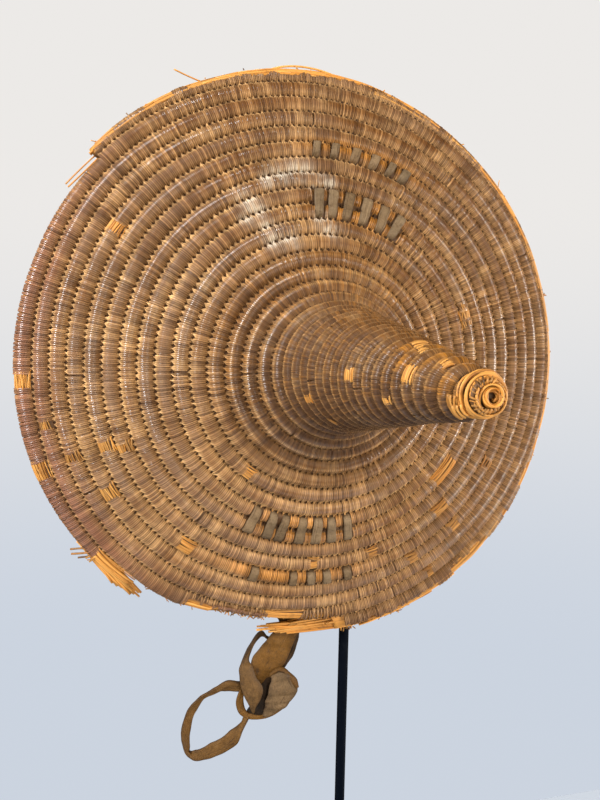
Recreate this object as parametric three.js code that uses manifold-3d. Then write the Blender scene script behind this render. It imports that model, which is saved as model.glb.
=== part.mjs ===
// A round coiled-basketry shield with a long pointed boss, hung by its hide strap on a black steel stand.
// Millimetres, +Z up. The shield faces -Y, and the origin is the centre of the foot's underside.
//
// Shield coordinates, used for everything but the foot: x to the right as seen from the front, y up,
// z out of the face, from the middle of the rim's plane. A group turns them upright at the end.

import * as THREE from 'three';
import Module from 'manifold-3d';

const wasm = await Module();
wasm.setup();

// Places in the whole object
const RIM_CENTRE_HEIGHT = 540;
const RIM_PLANE_Y = 45;
const RIM_CENTRE_X = -49;
const CLEARANCE = 0.3;

// Section of the shield along its front seams, from the rim to the tip: [radius, distance out of the rim plane]
const SECTION = [
  [268, -4.5], [260, 0], [208, 25.5], [156, 46.8], [104, 68.7], [71, 85.5], [50, 108], [40.5, 135],
  [35, 170], [25, 227], [18, 262], [13, 292], [11, 308], [10.4, 315], [8, 320], [4, 321], [2, 318],
];
const RIM_LINE = Math.hypot(268 - 260, 4.5);
const TIP_HOLE_DEPTH = 311;
const CAVITY_END_RADIUS = 18;
const CAVITY_FLOOR = 258;
const BOSS_START = 90;
const BOSS_LENGTH = 230;
const BOSS_DROOP = 4;

// Coil: its pitch along the section, wide at the rim and finer on the boss
const PITCH_DISC = 13.8;
const PITCH_RIM_EXTRA = 3.8;
const PITCH_RIM_FADE = 100;
const PITCH_BOSS_LOSS = 4.3;
const FINE_COIL_FROM = 265;
const FINE_COIL_TO = 340;
// Shares of the pitch: height of a coil's crest over its seams, and wall thickness at the seams
const CREST_SHARE = 0.2;
const WALL_SHARE = 0.45;
const RIM_EDGE_SHARES = [0.1, 0.36];

// Rim: angles in degrees, counter-clockwise from the right, seen from the front
const COIL_END = 137;
const LOST_FROM = 228;
const LOST_TO = 262;
const LOST_STUB = 0.6;
const COLUMN_STEP = 12;
const BREAK_COLUMNS = [229, 261, 263];
// Where the worn outer edge lies, as [angle, mm in from the nominal rim line], along the last turn
const RIM_WEAR = [
  [-223, 14], [-201, 14], [-181, 11], [-160, 7.5], [-132, 4.5], [-98, 9], [-90, 2.5], [-75, -3], [-54, -3.5],
  [-35, -1], [-16, 6], [3, 6.5], [21, 7], [39, 4], [58, 1.5], [78, -3], [98, -4], [118, -2.5], [137, 0],
];
// The next coil in is frayed back where the outer one is lost
const FRAY_FROM = 243;
const FRAY_TO = 268;
const FRAY_DEPTH = 7;

// Hide strap: sewn to the back at two pads, loose between them as the grip, then down behind the rim
const STRAP_THICKNESS = 3;
const PAD_GAP = 1;
const TOP_PAD_ANGLE = 78;
const BOTTOM_PAD_ANGLE = 265;
// Pad places as [slant distance in from the rim line, half width]
const PAD_STATIONS = [[55, 44], [85, 47], [125, 42], [160, 34]];
const TAIL_STATIONS = [[40, 30], [22, 14]];
// Grip places as [x, y, z, half width]
const GRIP_STATIONS = [[18, 78, 53, 27], [4, 0, 47, 21], [-9, -80, 53, 27]];
const GRIP_LEAN = 0.14;
// Left and right edge of the strap at each place, x, y, z each
const STRAP_TAIL = [
  [[-19, -250, -12], [3, -253, -12]],
  [[-24, -259, -14], [1, -262, -14]],
  [[-33, -271, -15], [-5, -278, -15]],
  [[-43, -283, -15], [-13, -295, -15]],
  [[-43, -301, -15], [-23, -305, -15]],
  [[-41, -318, -16], [-29, -320, -16]],
  [[-43, -341, -15], [-30, -345, -15]],
];
const KNOT_LOBE = [
  [[-47, -346, -16], [-41, -338, -14]],
  [[-30, -346, -13], [-32, -328, -11]],
  [[-10, -340, -12], [-30, -319, -10]],
  [[1, -326, -16], [-28, -308, -11]],
  [[-4, -311, -23], [-25, -304, -15]],
  [[-17, -302, -27], [-28, -300, -20]],
];
const KNOT_TURN = [
  [[-25, -274, -20], [-28, -274, -30]],
  [[-35, -265, -19], [-34, -268, -30]],
  [[-44, -271, -17], [-42, -273, -28]],
  [[-53, -286, -13], [-47, -287, -23]],
  [[-58, -296, -11], [-46, -297, -16]],
  [[-56, -308, -8], [-35, -309, -9]],
  [[-50, -324, -9], [-31, -324, -8]],
  [[-44, -339, -13], [-34, -341, -13]],
];
const CARRYING_LOOP = [
  [[-50, -305, -10], [-50, -315, -13]],
  [[-68, -306, -9], [-67, -314, -14]],
  [[-82, -311, -9], [-81, -317, -16]],
  [[-99, -322, -11], [-93, -328, -17]],
  [[-109, -338, -12], [-100, -341, -17]],
  [[-112, -355, -11], [-104, -357, -18]],
  [[-109, -372, -9], [-105, -369, -18]],
  [[-101, -382, -9], [-100, -372, -14]],
  [[-85, -382, -11], [-88, -369, -12]],
  [[-67, -375, -12], [-71, -361, -12]],
  [[-55, -366, -12], [-60, -353, -14]],
  [[-51, -355, -11], [-54, -348, -17]],
  [[-46, -342, -11], [-50, -338, -17]],
];

// Stand
const ROD_RADIUS = 5;
const ROD_SIDES = 10;
const ROD_X = -RIM_CENTRE_X;
const ROD_Z = -17;
// Where the rod bends behind the grip, in shield coordinates, and its tip inside the strap's upper end
const ROD_BENDS = [[ROD_X, -2, ROD_Z], [ROD_X, 36, 58], [ROD_X - 7, 75, 60.5]];
const BEND_LENGTH = 16;
const BEND_STEPS = 4;
const FOOT = { width: 200, depth: 220, thickness: 10, corner: 12, bevel: 1 };

const smoothstep = (from, to, value) => THREE.MathUtils.smoothstep(value, from, to);
const radians = THREE.MathUtils.degToRad;

// Value at x on a line through [x, value] points, flat beyond the ends
function alongPoints(points, x) {
  if (x <= points[0][0]) return points[0][1];
  for (let i = 1; i < points.length; i += 1) {
    const [x0, v0] = points[i - 1];
    const [x1, v1] = points[i];
    if (x <= x1) return THREE.MathUtils.mapLinear(x, x0, x1, v0, v1);
  }
  return points.at(-1)[1];
}

// Coil pitch at a slant distance in from the rim line
function coilPitch(slant) {
  const disc = PITCH_DISC + PITCH_RIM_EXTRA * Math.exp(-Math.max(slant, 0) / PITCH_RIM_FADE);
  return disc - PITCH_BOSS_LOSS * smoothstep(FINE_COIL_FROM, FINE_COIL_TO, slant);
}

const sectionCurve = new THREE.CatmullRomCurve3(
  SECTION.map(([radius, out]) => new THREE.Vector3(radius, out, 0)), false, 'centripetal');
sectionCurve.arcLengthDivisions = 800;
const SECTION_LENGTH = sectionCurve.getLength() - RIM_LINE;

// A point of the shield: slant distance in from the rim line, angle, and offset along the outward normal
function shieldPoint(slant, degrees, offset) {
  const t = THREE.MathUtils.clamp((slant + RIM_LINE) / (SECTION_LENGTH + RIM_LINE), 0, 1);
  const place = sectionCurve.getPointAt(t);
  const along = sectionCurve.getTangentAt(t);
  const radius = place.x + along.y * offset;
  const out = place.y - along.x * offset;
  const angle = radians(degrees);
  const sag = BOSS_DROOP * THREE.MathUtils.clamp((out - BOSS_START) / BOSS_LENGTH, 0, 1) ** 2;
  return new THREE.Vector3(radius * Math.cos(angle), radius * Math.sin(angle) - sag, out);
}

// Slant distance of the seam for each whole degree of coil, going in from the right-hand rim
const seamTable = [0];
while (seamTable.at(-1) < SECTION_LENGTH) {
  seamTable.push(seamTable.at(-1) + coilPitch(seamTable.at(-1)) / 360);
}

// Slant distance of the seam at a running angle: 0 at the right-hand rim, negative further in
function seamSlant(running) {
  if (running >= 0) return (-running / 360) * coilPitch(0);
  const step = Math.min(-running, seamTable.length - 1);
  const low = Math.floor(step);
  const high = Math.min(low + 1, seamTable.length - 1);
  return THREE.MathUtils.lerp(seamTable[low], seamTable[high], step - low);
}

// Running angles of one turn's columns, closer at the breaks, ending at the coil's end
function turnColumns() {
  const columns = BREAK_COLUMNS.map((degrees) => degrees - 360);
  for (let degrees = COIL_END - 360 + COLUMN_STEP; degrees <= COIL_END; degrees += COLUMN_STEP) {
    columns.push(degrees);
  }
  return columns.sort((a, b) => a - b);
}

const isLost = (running) => running > LOST_FROM - 360 && running < LOST_TO - 360;

// Slant distance of the seam or, on the last turn, of the worn outer edge
function edgeSlant(running) {
  const lastTurnStart = COIL_END - 360;
  if (running < lastTurnStart) {
    const frayed = running + 720;
    const depth = FRAY_DEPTH * Math.sin(Math.PI * smoothstep(FRAY_FROM, FRAY_TO, frayed));
    return seamSlant(running) + depth;
  }
  if (isLost(running)) return edgeSlant(running - 360) - LOST_STUB;
  return alongPoints(RIM_WEAR, running);
}

// The whole basket: one long coil sewn to itself, hollow behind, with its worn and broken rim
function basketGeometry() {
  const columns = turnColumns();
  const perTurn = columns.length;
  const running = [];
  for (let turn = 60; turn >= 0; turn -= 1) {
    for (const degrees of columns) {
      const angle = degrees - 360 * turn;
      if (seamSlant(angle) < SECTION_LENGTH - 1) running.push(angle);
    }
  }
  const last = running.length - 1;
  const positions = [];
  const faces = [];
  const addPoint = (point) => positions.push(point) - 1;

  // One skin of the basket: its seams and crests, from a first seam to the rim
  function addSkin(first, side, hasCrest) {
    const seams = [];
    const crests = [];
    for (let i = first; i <= last; i += 1) {
      const slant = edgeSlant(running[i]);
      const pitch = coilPitch(slant);
      const outer = i > last - perTurn;
      const shares = outer ? RIM_EDGE_SHARES : [0, WALL_SHARE];
      seams[i] = addPoint(shieldPoint(slant, running[i], -pitch * shares[side]));
    }
    for (let i = first; i <= last - perTurn; i += 1) {
      if (!hasCrest(i)) continue;
      const inner = edgeSlant(running[i]);
      const outer = edgeSlant(running[i + perTurn]);
      const pitch = coilPitch(inner);
      const fullness = Math.min((inner - outer) / pitch, 1);
      const height = CREST_SHARE * pitch * fullness;
      const offset = side ? -WALL_SHARE * pitch * Math.max(fullness, 0.8) - height : height;
      crests[i] = addPoint(shieldPoint((inner + outer) / 2, running[i], offset));
    }
    const addFace = (a, b, c) => faces.push(side ? [a, c, b] : [a, b, c]);
    for (let i = first; i < last - perTurn; i += 1) {
      const [a, b, c, d] = [seams[i], seams[i + 1], seams[i + perTurn], seams[i + 1 + perTurn]];
      if (crests[i] === undefined) {
        addFace(a, c, d);
        addFace(a, d, b);
        if (crests[i + 1] !== undefined) addFace(b, d, crests[i + 1]);
        continue;
      }
      addFace(a, crests[i], crests[i + 1]);
      addFace(a, crests[i + 1], b);
      addFace(crests[i], c, d);
      addFace(crests[i], d, crests[i + 1]);
    }
    return { first, seams, crests, addFace };
  }

  // Closes a skin at the tip, with a fan round its first turn
  function closeTip({ first, seams, crests, addFace }, centre) {
    const middle = addPoint(centre);
    for (let i = first; i < first + perTurn; i += 1) addFace(middle, seams[i], seams[i + 1]);
    const end = seams[first + perTurn];
    if (crests[first] === undefined) {
      addFace(middle, end, seams[first]);
      return;
    }
    addFace(middle, end, crests[first]);
    addFace(middle, crests[first], seams[first]);
  }

  const front = addSkin(0, 0, () => true);
  closeTip(front, new THREE.Vector3(0, -BOSS_DROOP, TIP_HOLE_DEPTH));
  const cavityStart = running.findIndex((angle) => {
    const place = shieldPoint(seamSlant(angle), 0, 0);
    return place.x > CAVITY_END_RADIUS;
  });
  const ridged = (i) => seamSlant(running[i]) < FINE_COIL_FROM;
  const back = addSkin(cavityStart, 1, ridged);
  closeTip(back, new THREE.Vector3(0, -BOSS_DROOP / 2, CAVITY_FLOOR));

  // Outer edge of the rim, and the cut end of the coil
  for (let i = last - perTurn; i < last; i += 1) {
    faces.push([back.seams[i], back.seams[i + 1], front.seams[i + 1]]);
    faces.push([back.seams[i], front.seams[i + 1], front.seams[i]]);
  }
  const end = last - perTurn;
  const frontEnd = [front.seams[end], front.crests[end], front.seams[last]];
  const backEnd = [back.seams[end], back.crests[end], back.seams[last]];
  for (let k = 0; k < 2; k += 1) {
    faces.push([backEnd[k], frontEnd[k], frontEnd[k + 1]]);
    faces.push([backEnd[k], frontEnd[k + 1], backEnd[k + 1]]);
  }

  const geometry = new THREE.BufferGeometry().setFromPoints(positions);
  geometry.setIndex(faces.flat());
  return geometry;
}

// A closed body through rings of points, with flat ends
function loft(rings) {
  const sides = rings[0].length;
  const faces = [];
  for (let i = 0; i + 1 < rings.length; i += 1) {
    for (let j = 0; j < sides; j += 1) {
      const [a, b] = [i * sides + j, i * sides + ((j + 1) % sides)];
      faces.push([a, b, b + sides], [a, b + sides, a + sides]);
    }
  }
  const top = (rings.length - 1) * sides;
  for (let j = 1; j + 1 < sides; j += 1) {
    faces.push([0, j + 1, j], [top, top + j, top + j + 1]);
  }
  const geometry = new THREE.BufferGeometry().setFromPoints(rings.flat());
  geometry.setIndex(faces.flat());
  return geometry;
}

// A strap along two edge lines: places are [left, right], each [x, y, z] or a Vector3
function ribbonGeometry(places, thickness, stepsPerSpan) {
  const toVector = (point) => (point.isVector3 ? point : new THREE.Vector3(...point));
  const left = new THREE.CatmullRomCurve3(places.map(([point]) => toVector(point)), false, 'centripetal');
  const right = new THREE.CatmullRomCurve3(places.map(([, point]) => toVector(point)), false, 'centripetal');
  const steps = (places.length - 1) * stepsPerSpan;
  const middleAt = (t) => left.getPoint(t).add(right.getPoint(t)).multiplyScalar(0.5);
  const rings = [];
  for (let i = 0; i <= steps; i += 1) {
    const t = i / steps;
    const [a, b] = [left.getPoint(t), right.getPoint(t)];
    const ahead = middleAt(Math.min(t + 0.5 / steps, 1)).sub(middleAt(Math.max(t - 0.5 / steps, 0)));
    const across = b.clone().sub(a);
    const lift = ahead.cross(across).normalize().multiplyScalar(thickness / 2);
    rings.push([a.clone().sub(lift), a.clone().add(lift), b.clone().add(lift), b.clone().sub(lift)]);
  }
  return loft(rings);
}

// Left and right edge of a sewn pad, against the ridged back of the shield
function padPlace(slant, halfWidth, degrees) {
  const pitch = coilPitch(slant);
  const offset = -(WALL_SHARE + CREST_SHARE) * pitch - PAD_GAP - STRAP_THICKNESS / 2;
  const radius = Math.hypot(...shieldPoint(slant, 0, offset).toArray().slice(0, 2));
  const half = THREE.MathUtils.radToDeg(halfWidth / radius);
  const edges = [shieldPoint(slant, degrees + half, offset), shieldPoint(slant, degrees - half, offset)];
  return edges.sort((a, b) => a.x - b.x);
}

function gripPlace([x, y, z, halfWidth]) {
  const reach = new THREE.Vector3(halfWidth, -halfWidth * GRIP_LEAN, 0);
  const middle = new THREE.Vector3(x, y, z);
  return [middle.clone().sub(reach), middle.clone().add(reach)];
}

function toManifold(geometry) {
  const mesh = new wasm.Mesh({
    numProp: 3,
    vertProperties: geometry.getAttribute('position').array,
    triVerts: Uint32Array.from(geometry.getIndex().array),
  });
  const solid = new wasm.Manifold(mesh);
  if (solid.volume() > 0) return solid;
  mesh.triVerts.reverse();
  return new wasm.Manifold(mesh);
}

function fromManifold(solid) {
  const mesh = solid.getMesh();
  const geometry = new THREE.BufferGeometry();
  geometry.setAttribute('position', new THREE.BufferAttribute(mesh.vertProperties, 3));
  geometry.setIndex(new THREE.BufferAttribute(mesh.triVerts, 1));
  return geometry;
}

// The hide strap as one body: pads, grip, tail, knot and carrying loop
function strapGeometry() {
  const main = [
    ...PAD_STATIONS.map(([slant, half]) => padPlace(slant, half, TOP_PAD_ANGLE)),
    ...GRIP_STATIONS.map(gripPlace),
    ...PAD_STATIONS.toReversed().map(([slant, half]) => padPlace(slant, half, BOTTOM_PAD_ANGLE)),
    ...TAIL_STATIONS.map(([slant, half]) => padPlace(slant, half, BOTTOM_PAD_ANGLE)),
    ...STRAP_TAIL,
  ];
  const bodies = [main, KNOT_LOBE, KNOT_TURN, CARRYING_LOOP].map((places) => {
    return toManifold(ribbonGeometry(places, STRAP_THICKNESS, 2));
  });
  return fromManifold(wasm.Manifold.union(bodies));
}

// The rod: straight up from the foot, then bent forward and up behind the grip
function rodGeometry() {
  const bottom = new THREE.Vector3(ROD_X, FOOT.thickness + CLEARANCE - RIM_CENTRE_HEIGHT, ROD_Z);
  const corners = [bottom, ...ROD_BENDS.map((bend) => new THREE.Vector3(...bend))];
  const path = [bottom];
  for (let i = 1; i + 1 < corners.length; i += 1) {
    const before = corners[i - 1].clone().sub(corners[i]).setLength(BEND_LENGTH).add(corners[i]);
    const after = corners[i + 1].clone().sub(corners[i]).setLength(BEND_LENGTH).add(corners[i]);
    path.push(...new THREE.QuadraticBezierCurve3(before, corners[i], after).getPoints(BEND_STEPS));
  }
  path.push(corners.at(-1));
  const rings = path.map((point, i) => {
    const from = path[Math.max(i - 1, 0)];
    const to = path[Math.min(i + 1, path.length - 1)];
    const ahead = to.clone().sub(from).normalize();
    const sideways = new THREE.Vector3(1, 0, 0).projectOnPlane(ahead).normalize();
    const up = ahead.clone().cross(sideways);
    return Array.from({ length: ROD_SIDES }, (_, j) => {
      const angle = (2 * Math.PI * (j + 0.5)) / ROD_SIDES;
      return point.clone()
        .addScaledVector(sideways, ROD_RADIUS * Math.cos(angle))
        .addScaledVector(up, ROD_RADIUS * Math.sin(angle));
    });
  });
  return loft(rings);
}

// The foot: a flat plate with round corners and eased edges
function footGeometry() {
  const { width, depth, thickness, corner, bevel } = FOOT;
  const [x, y] = [width / 2 - bevel, depth / 2 - bevel];
  const outline = new THREE.Shape();
  outline.absarc(x - corner, y - corner, corner, 0, Math.PI / 2);
  outline.absarc(-x + corner, y - corner, corner, Math.PI / 2, Math.PI);
  outline.absarc(-x + corner, -y + corner, corner, Math.PI, 1.5 * Math.PI);
  outline.absarc(x - corner, -y + corner, corner, 1.5 * Math.PI, 2 * Math.PI);
  const plate = new THREE.ExtrudeGeometry(outline, {
    depth: thickness - 2 * bevel, curveSegments: 5, bevelEnabled: true,
    bevelThickness: bevel, bevelSize: bevel, bevelSegments: 1,
  });
  return plate.translate(0, 0, bevel);
}

function piece(name, geometry, colour, roughness, metalness) {
  geometry.computeVertexNormals();
  const material = new THREE.MeshStandardMaterial({ color: colour, roughness, metalness });
  const mesh = new THREE.Mesh(geometry, material);
  mesh.name = name;
  return mesh;
}

const upright = new THREE.Group();
upright.position.set(RIM_CENTRE_X, RIM_PLANE_Y, RIM_CENTRE_HEIGHT);
upright.rotation.x = Math.PI / 2;
upright.add(piece('coiled_shield', basketGeometry(), 0x8a6a48, 0.75, 0));
upright.add(piece('hide_strap', strapGeometry(), 0x7c5c38, 0.6, 0));
upright.add(piece('stand_rod', rodGeometry(), 0x14161c, 0.35, 0.3));

const shieldOnStand = new THREE.Group();
shieldOnStand.add(upright);
shieldOnStand.add(piece('stand_foot', footGeometry(), 0x14161c, 0.35, 0.3));

export default shieldOnStand;
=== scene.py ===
"""A worn coiled-basketry shield with a long boss, hung by its hide strap on a black steel stand.

Laid out as a Blender 4.5 add-on and run as a script.

Shield coordinates, in millimetres: x to the right as seen from the front, y up, z out of the face,
from the middle of the rim's plane. Running angles follow the coil: degrees counter-clockwise from the
right, 0 at the right-hand rim, 360 less for each turn further in.
"""

import math

import bmesh
import bpy
import numpy as np
from mathutils import Matrix, Vector


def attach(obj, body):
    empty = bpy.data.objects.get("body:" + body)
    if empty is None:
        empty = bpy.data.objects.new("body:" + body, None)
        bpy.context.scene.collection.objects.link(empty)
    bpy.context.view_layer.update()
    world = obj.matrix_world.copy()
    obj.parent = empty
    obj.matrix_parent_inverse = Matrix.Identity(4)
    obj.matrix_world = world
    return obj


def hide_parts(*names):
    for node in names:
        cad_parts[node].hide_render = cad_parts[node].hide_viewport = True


bl_info = {
    "name": "Coiled basketry shield",
    "version": (1, 0, 0),
    "blender": (4, 5, 0),
    "location": "View3D > Sidebar > Shield",
    "description": "Makes a worn coiled basketry shield with its hide strap and stand",
    "category": "Object",
}

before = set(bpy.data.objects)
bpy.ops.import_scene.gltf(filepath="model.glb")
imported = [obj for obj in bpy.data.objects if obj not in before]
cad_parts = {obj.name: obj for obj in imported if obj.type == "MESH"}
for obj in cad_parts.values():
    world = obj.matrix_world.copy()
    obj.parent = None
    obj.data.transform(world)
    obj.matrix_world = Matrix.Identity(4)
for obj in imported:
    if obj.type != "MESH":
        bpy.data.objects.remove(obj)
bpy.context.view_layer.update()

MM = 0.001
RIM_CENTRE = (-49.0, 45.0, 540.0)

# Section along the front seams, from the rim to the tip: radius, distance out of the rim plane
SECTION = (
    (268, -4.5), (260, 0), (208, 25.5), (156, 46.8), (104, 68.7), (71, 85.5), (50, 108), (40.5, 135),
    (35, 170), (25, 227), (18, 262), (13, 292), (11, 308), (10.4, 315), (8, 320), (4, 321), (2, 318),
)
BOSS_SECTION = tuple((out, radius) for radius, out in SECTION[5:14])
TIP_HOLE_DEPTH = 311
CAVITY_END_RADIUS = 18
CAVITY_FLOOR = 258
BOSS_START = 90
BOSS_LENGTH = 230
BOSS_DROOP = 4

# Coil pitch along the section, and shares of it: crest over the seams, wall at the seams, worn outer edge
PITCH_DISC = 13.8
PITCH_RIM_EXTRA = 3.8
PITCH_RIM_FADE = 100
PITCH_BOSS_LOSS = 4.3
FINE_COIL_FROM = 265
FINE_COIL_TO = 340
CREST_SHARE = 0.2
WALL_SHARE = 0.45
RIM_EDGE_SHARES = (0.1, 0.36)
USUAL_PITCH = 15.0
FACE_CREST_SHARE = 0.29
BOSS_CREST_SHARE = 0.25
TIP_INSET = 3.1

# Stitches: radii between boss, inner and outer disc, fade of the boss's look, and where the tip is bare
BOSS_RADIUS = 78
INNER_DISC_RADIUS = 172
BOSS_FADE = (60, 110)
TIP_BARE = 311
TIP_STITCH_SHARE = 0.66
STITCH_NARROWING = (10, 95)
ANGLE_STEP = 0.25
TOOTH_STRIPS = 3
LOST_STRIPS = 0.002

# Rim: where the coil ends, where its outermost turn is lost, and how far in its worn edge lies
COIL_END = 137
LOST_FROM = 228
LOST_TO = 277
LOST_STUB = 0.6
RIM_WEAR = (
    (-223, 14), (-201, 14), (-181, 11), (-160, 7.5), (-132, 4.5), (-98, 9), (-90, 2.5), (-75, -3),
    (-54, -3.5), (-35, -1), (-16, 6), (3, 6.5), (21, 7), (39, 4), (58, 1.5), (78, -3), (98, -4),
    (118, -2.5), (137, 0),
)

# Drift of the first seam inside the rim, and its fraying where bare: running angle, distance inwards
SEAM_DRIFT = (
    (-583, 0), (-562, 3.4), (-536, 3.4), (-520, 0), (-500, -4), (-485, -5), (-468, -2), (-450, 0),
    (-223, 0),
)
SEAM_FRAY = (
    (-492, 0), (-486, -1.5), (-479, -2.8), (-476, 0), (-472, 1.5), (-470.5, 6), (-467, 7), (-463, 5.5),
    (-459, 6.5), (-452, 5), (-449, 1), (-446, 0),
)
DRIFT_KEPT = 0.75

# How much of the outermost coil its stitches still cover, from its inner seam out: running angle, share
RIM_COVER = (
    (-98, 0.85), (-84, 0.55), (-70, 0.5), (-66, 0.4), (-57.5, 0.36), (-56.5, 1.2), (-54, 1.2),
    (-53, 0.27), (-42, 0.25), (-40.8, 1.2), (-36.4, 1.2), (-35.8, 0.3), (-34.6, 0.3), (-34, 1.2),
    (-28.5, 1.2), (-28, 0.28), (-22, 0.3), (-21.2, 1.2), (-19.8, 1.2), (-19, 0.32), (-16.5, 0.32),
    (-16, 1.2), (-14.8, 1.2), (-14.2, 0.4), (-4, 0.4), (0, 0.34), (9, 0.34), (13, 0.4), (16, 0.34),
    (17, 1.2), (18.6, 1.2), (19.4, 0.3), (24.5, 0.32), (25.5, 1.2), (28.6, 1.2), (29.2, 0.3), (30.4, 0.3),
    (31, 0.95), (34.5, 0.95), (36, 0.3), (41, 0.3), (44, 0.5), (52, 0.8), (60, 0.76), (68, 0.56),
    (80, 0.5), (86, 0.36), (112, 0.36), (115, 0.5), (115.6, 1.2), (117.8, 1.2), (118.4, 0.34),
    (124, 0.34), (124.6, 1.2), (130.8, 1.2), (131.4, 0.38), (137, 0.34),
)

# Stretches of the rim where the outermost coil and the coil inside it have lost their wrap
BARE_RIM = ((221.8, 229), (260, 279.5))
FRAYED_COVER = (
    (228, 1.0), (241.6, 1.0), (242.4, 0.75), (243.4, 0.3), (247.5, 0.26), (249.4, 0.5), (250.2, 0.9),
    (261, 0.86), (277, 0.9),
)

# Bare patches: angle, number of the coil's inner seam, length, from and to share of its width, dirt
BARE_PATCHES = (
    (147, 5, 8, 0.0, 1.0, 0.0), (183.7, 2, 11, 0.0, 0.8, 0.05), (201.7, 2, 13, 0.0, 1.1, 0.15),
    (201.1, 6, 8, 0.05, 1.0, 0.45), (202.8, 7, 6, 0.0, 0.9, 0.4), (211.8, 5, 10, 0.05, 1.0, 0.4),
    (234.3, 6, 11, 0.04, 1.0, 0.25), (233.6, 12, 6, 0.1, 0.75, 0.3), (201.2, 4, 6, 0.05, 1.0, 0.45),
    (299.1, 5, 8, 0.05, 1.0, 0.5), (288, 7, 8, 0.1, 0.9, 0.45), (313.1, 7, 13, 0.03, 0.97, 0.25),
    (313.4, 5, 9, 0.05, 0.95, 0.4), (321.8, 9, 25, -0.02, 1.02, 0.05), (332.1, 6, 7, 0.1, 0.9, 0.45),
    (23.4, 9, 3.5, 0.05, 1.0, 0.5), (20.2, 9, 5, 0.05, 1.0, 0.35), (16.8, 9, 3, 0.05, 1.0, 0.5),
    (270, 7, 6, 0.0, 0.6, 0.3), (193, 3, 6, 0.2, 0.8, 0.5), (346, 7, 6, 0.2, 0.9, 0.55),
    (302, 3, 6, 0.05, 1.0, 0.5), (264.9, 3, 37, -0.05, 1.1, 0.05), (177, 26, 5, 0.1, 0.8, 0.1),
    (100, 30, 4.5, 0.0, 0.9, 0.25), (161, 32, 6, 0.0, 0.9, 0.12), (110, 31, 2, 0.0, 0.7, 0.2),
    (123, 34, 2, 0.1, 0.7, 0.3), (207, 30, 1.5, 0.2, 0.8, 0.2), (208, 20, 3, 0.0, 0.6, 0.3),
    (237, 21, 5, 0.4, 0.9, 0.4), (222, 36, 3.5, 0.0, 1.0, 0.3), (200, 36, 3, 0.3, 0.9, 0.4),
    (226.2, 2, 38, 0.0, 1.0, 0.05), (246, 3, 30, 0.52, 1.0, 0.05),
)

# Chalky residue on the face: angle, radius, size
RESIDUE = (
    (99, 163.4, 9), (96, 161, 8), (103, 160.5, 8), (107.5, 158, 6), (117, 153.5, 6), (115.7, 143, 8),
    (114.5, 135, 8), (119, 134.5, 6), (114, 122, 6), (112.5, 112, 9), (108.5, 105.5, 8),
    (115.5, 107.5, 6), (90.5, 153.5, 6), (87.7, 152.5, 5), (92.4, 119, 7), (89.4, 110.5, 8), (93, 145, 5),
)

# Golden tinge on the boss where its wrap is worn thin: angle, distance out of the rim plane, size
BOSS_GOLD = (
    (125, 256, 5), (150, 264, 5), (95, 299, 6), (140, 283, 4), (190, 303, 5), (110, 285, 5), (80, 270, 5),
)

# Reddish gloss on the left of the disc: angles where it grows and fades, radii where it grows
RED_ANGLES = (125, 165, 215, 250)
RED_RADII = (205, 246)

# Hide thongs that sew the strap on: angle for each bar, over the coil inside the given seam
OUTER_THONGS = (91.3, 86.3, 80.5, 75, 70, 65.7, 254, 264.9, 269.8, 274.3, 280.1)
OUTER_THONG_SEAM = 6
INNER_THONGS = (92.7, 87.7, 82, 75.5, 68.7, 62.7, 246, 252.6, 256.9, 263.7, 269.4, 274.6, 280.6)
INNER_THONG_SEAM = 10
THONG_CLEARANCE = 4.1
THONG_REACH = 7.0

# Golden wrap sheltered beside the thongs: angle, spread, radius of the inner row, and radius of the outer row
SHELTERED = ((78, 17, 131), (264, 19, 140))
SHELTERED_OUTER_ROW = 187

# Hide strap: places on the back, and left and right edges along its tail, knot and loop
TOP_PAD_ANGLE = 78
BOTTOM_PAD_ANGLE = 265
PAD_GAP = 1.0
PAD_STATIONS = ((55, 44), (85, 47), (125, 42), (160, 34))
TAIL_STATIONS = ((40, 30), (22, 14))
GRIP_STATIONS = ((18, 78, 53, 27), (4, 0, 47, 21), (-9, -80, 53, 27))
GRIP_LEAN = 0.14
STRAP_TAIL = (
    ((-19, -250, -12), (3, -253, -12)), ((-24, -260, -13), (1, -263, -13)),
    ((-30, -268, -14), (-3, -273, -14)), ((-37, -277, -15), (-7, -285, -16)),
    ((-44, -285, -14), (-12, -296, -16)), ((-46, -295, -14), (-19, -303, -17)),
    ((-41, -306, -16), (-26, -311, -19)), ((-38, -322, -19), (-28, -326, -20)),
    ((-40, -337, -17), (-33, -340, -17)),
)
# The curled right edge of the tail, painted dark as its shaded side.
TAIL_FOLD = (
    ((0, -264, -14), (3, -267, -20)), ((-4, -273, -15), (2, -277, -22)),
    ((-7, -285, -17), (-1, -289, -23)), ((-12, -296, -17), (-8, -301, -23)),
    ((-17, -303, -18), (-14, -307, -23)),
)
KNOT_LOBE = (
    ((-26, -306, -14), (-17, -299, -15)), ((-26, -309, -11), (-9, -304, -12)),
    ((-28, -314, -10), (-3, -312, -12)), ((-29, -319, -9), (1, -320, -13)),
    ((-30, -324, -9), (0, -327, -13)), ((-32, -329, -9), (-5, -332, -12)),
    ((-32, -334, -10), (-10, -338, -12)), ((-33, -340, -11), (-19, -342, -12)),
    ((-34, -344, -12), (-28, -347, -13)),
)
LOBE_ROLL = (
    ((-27, -307, -13), (-26, -304, -16)), ((-18, -301, -11), (-16, -298, -15)),
    ((-11, -306, -10), (-7, -305, -15)), ((-6, -313, -10), (0, -313, -15)),
    ((-2, -320, -11), (2, -321, -15)),
)
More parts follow.
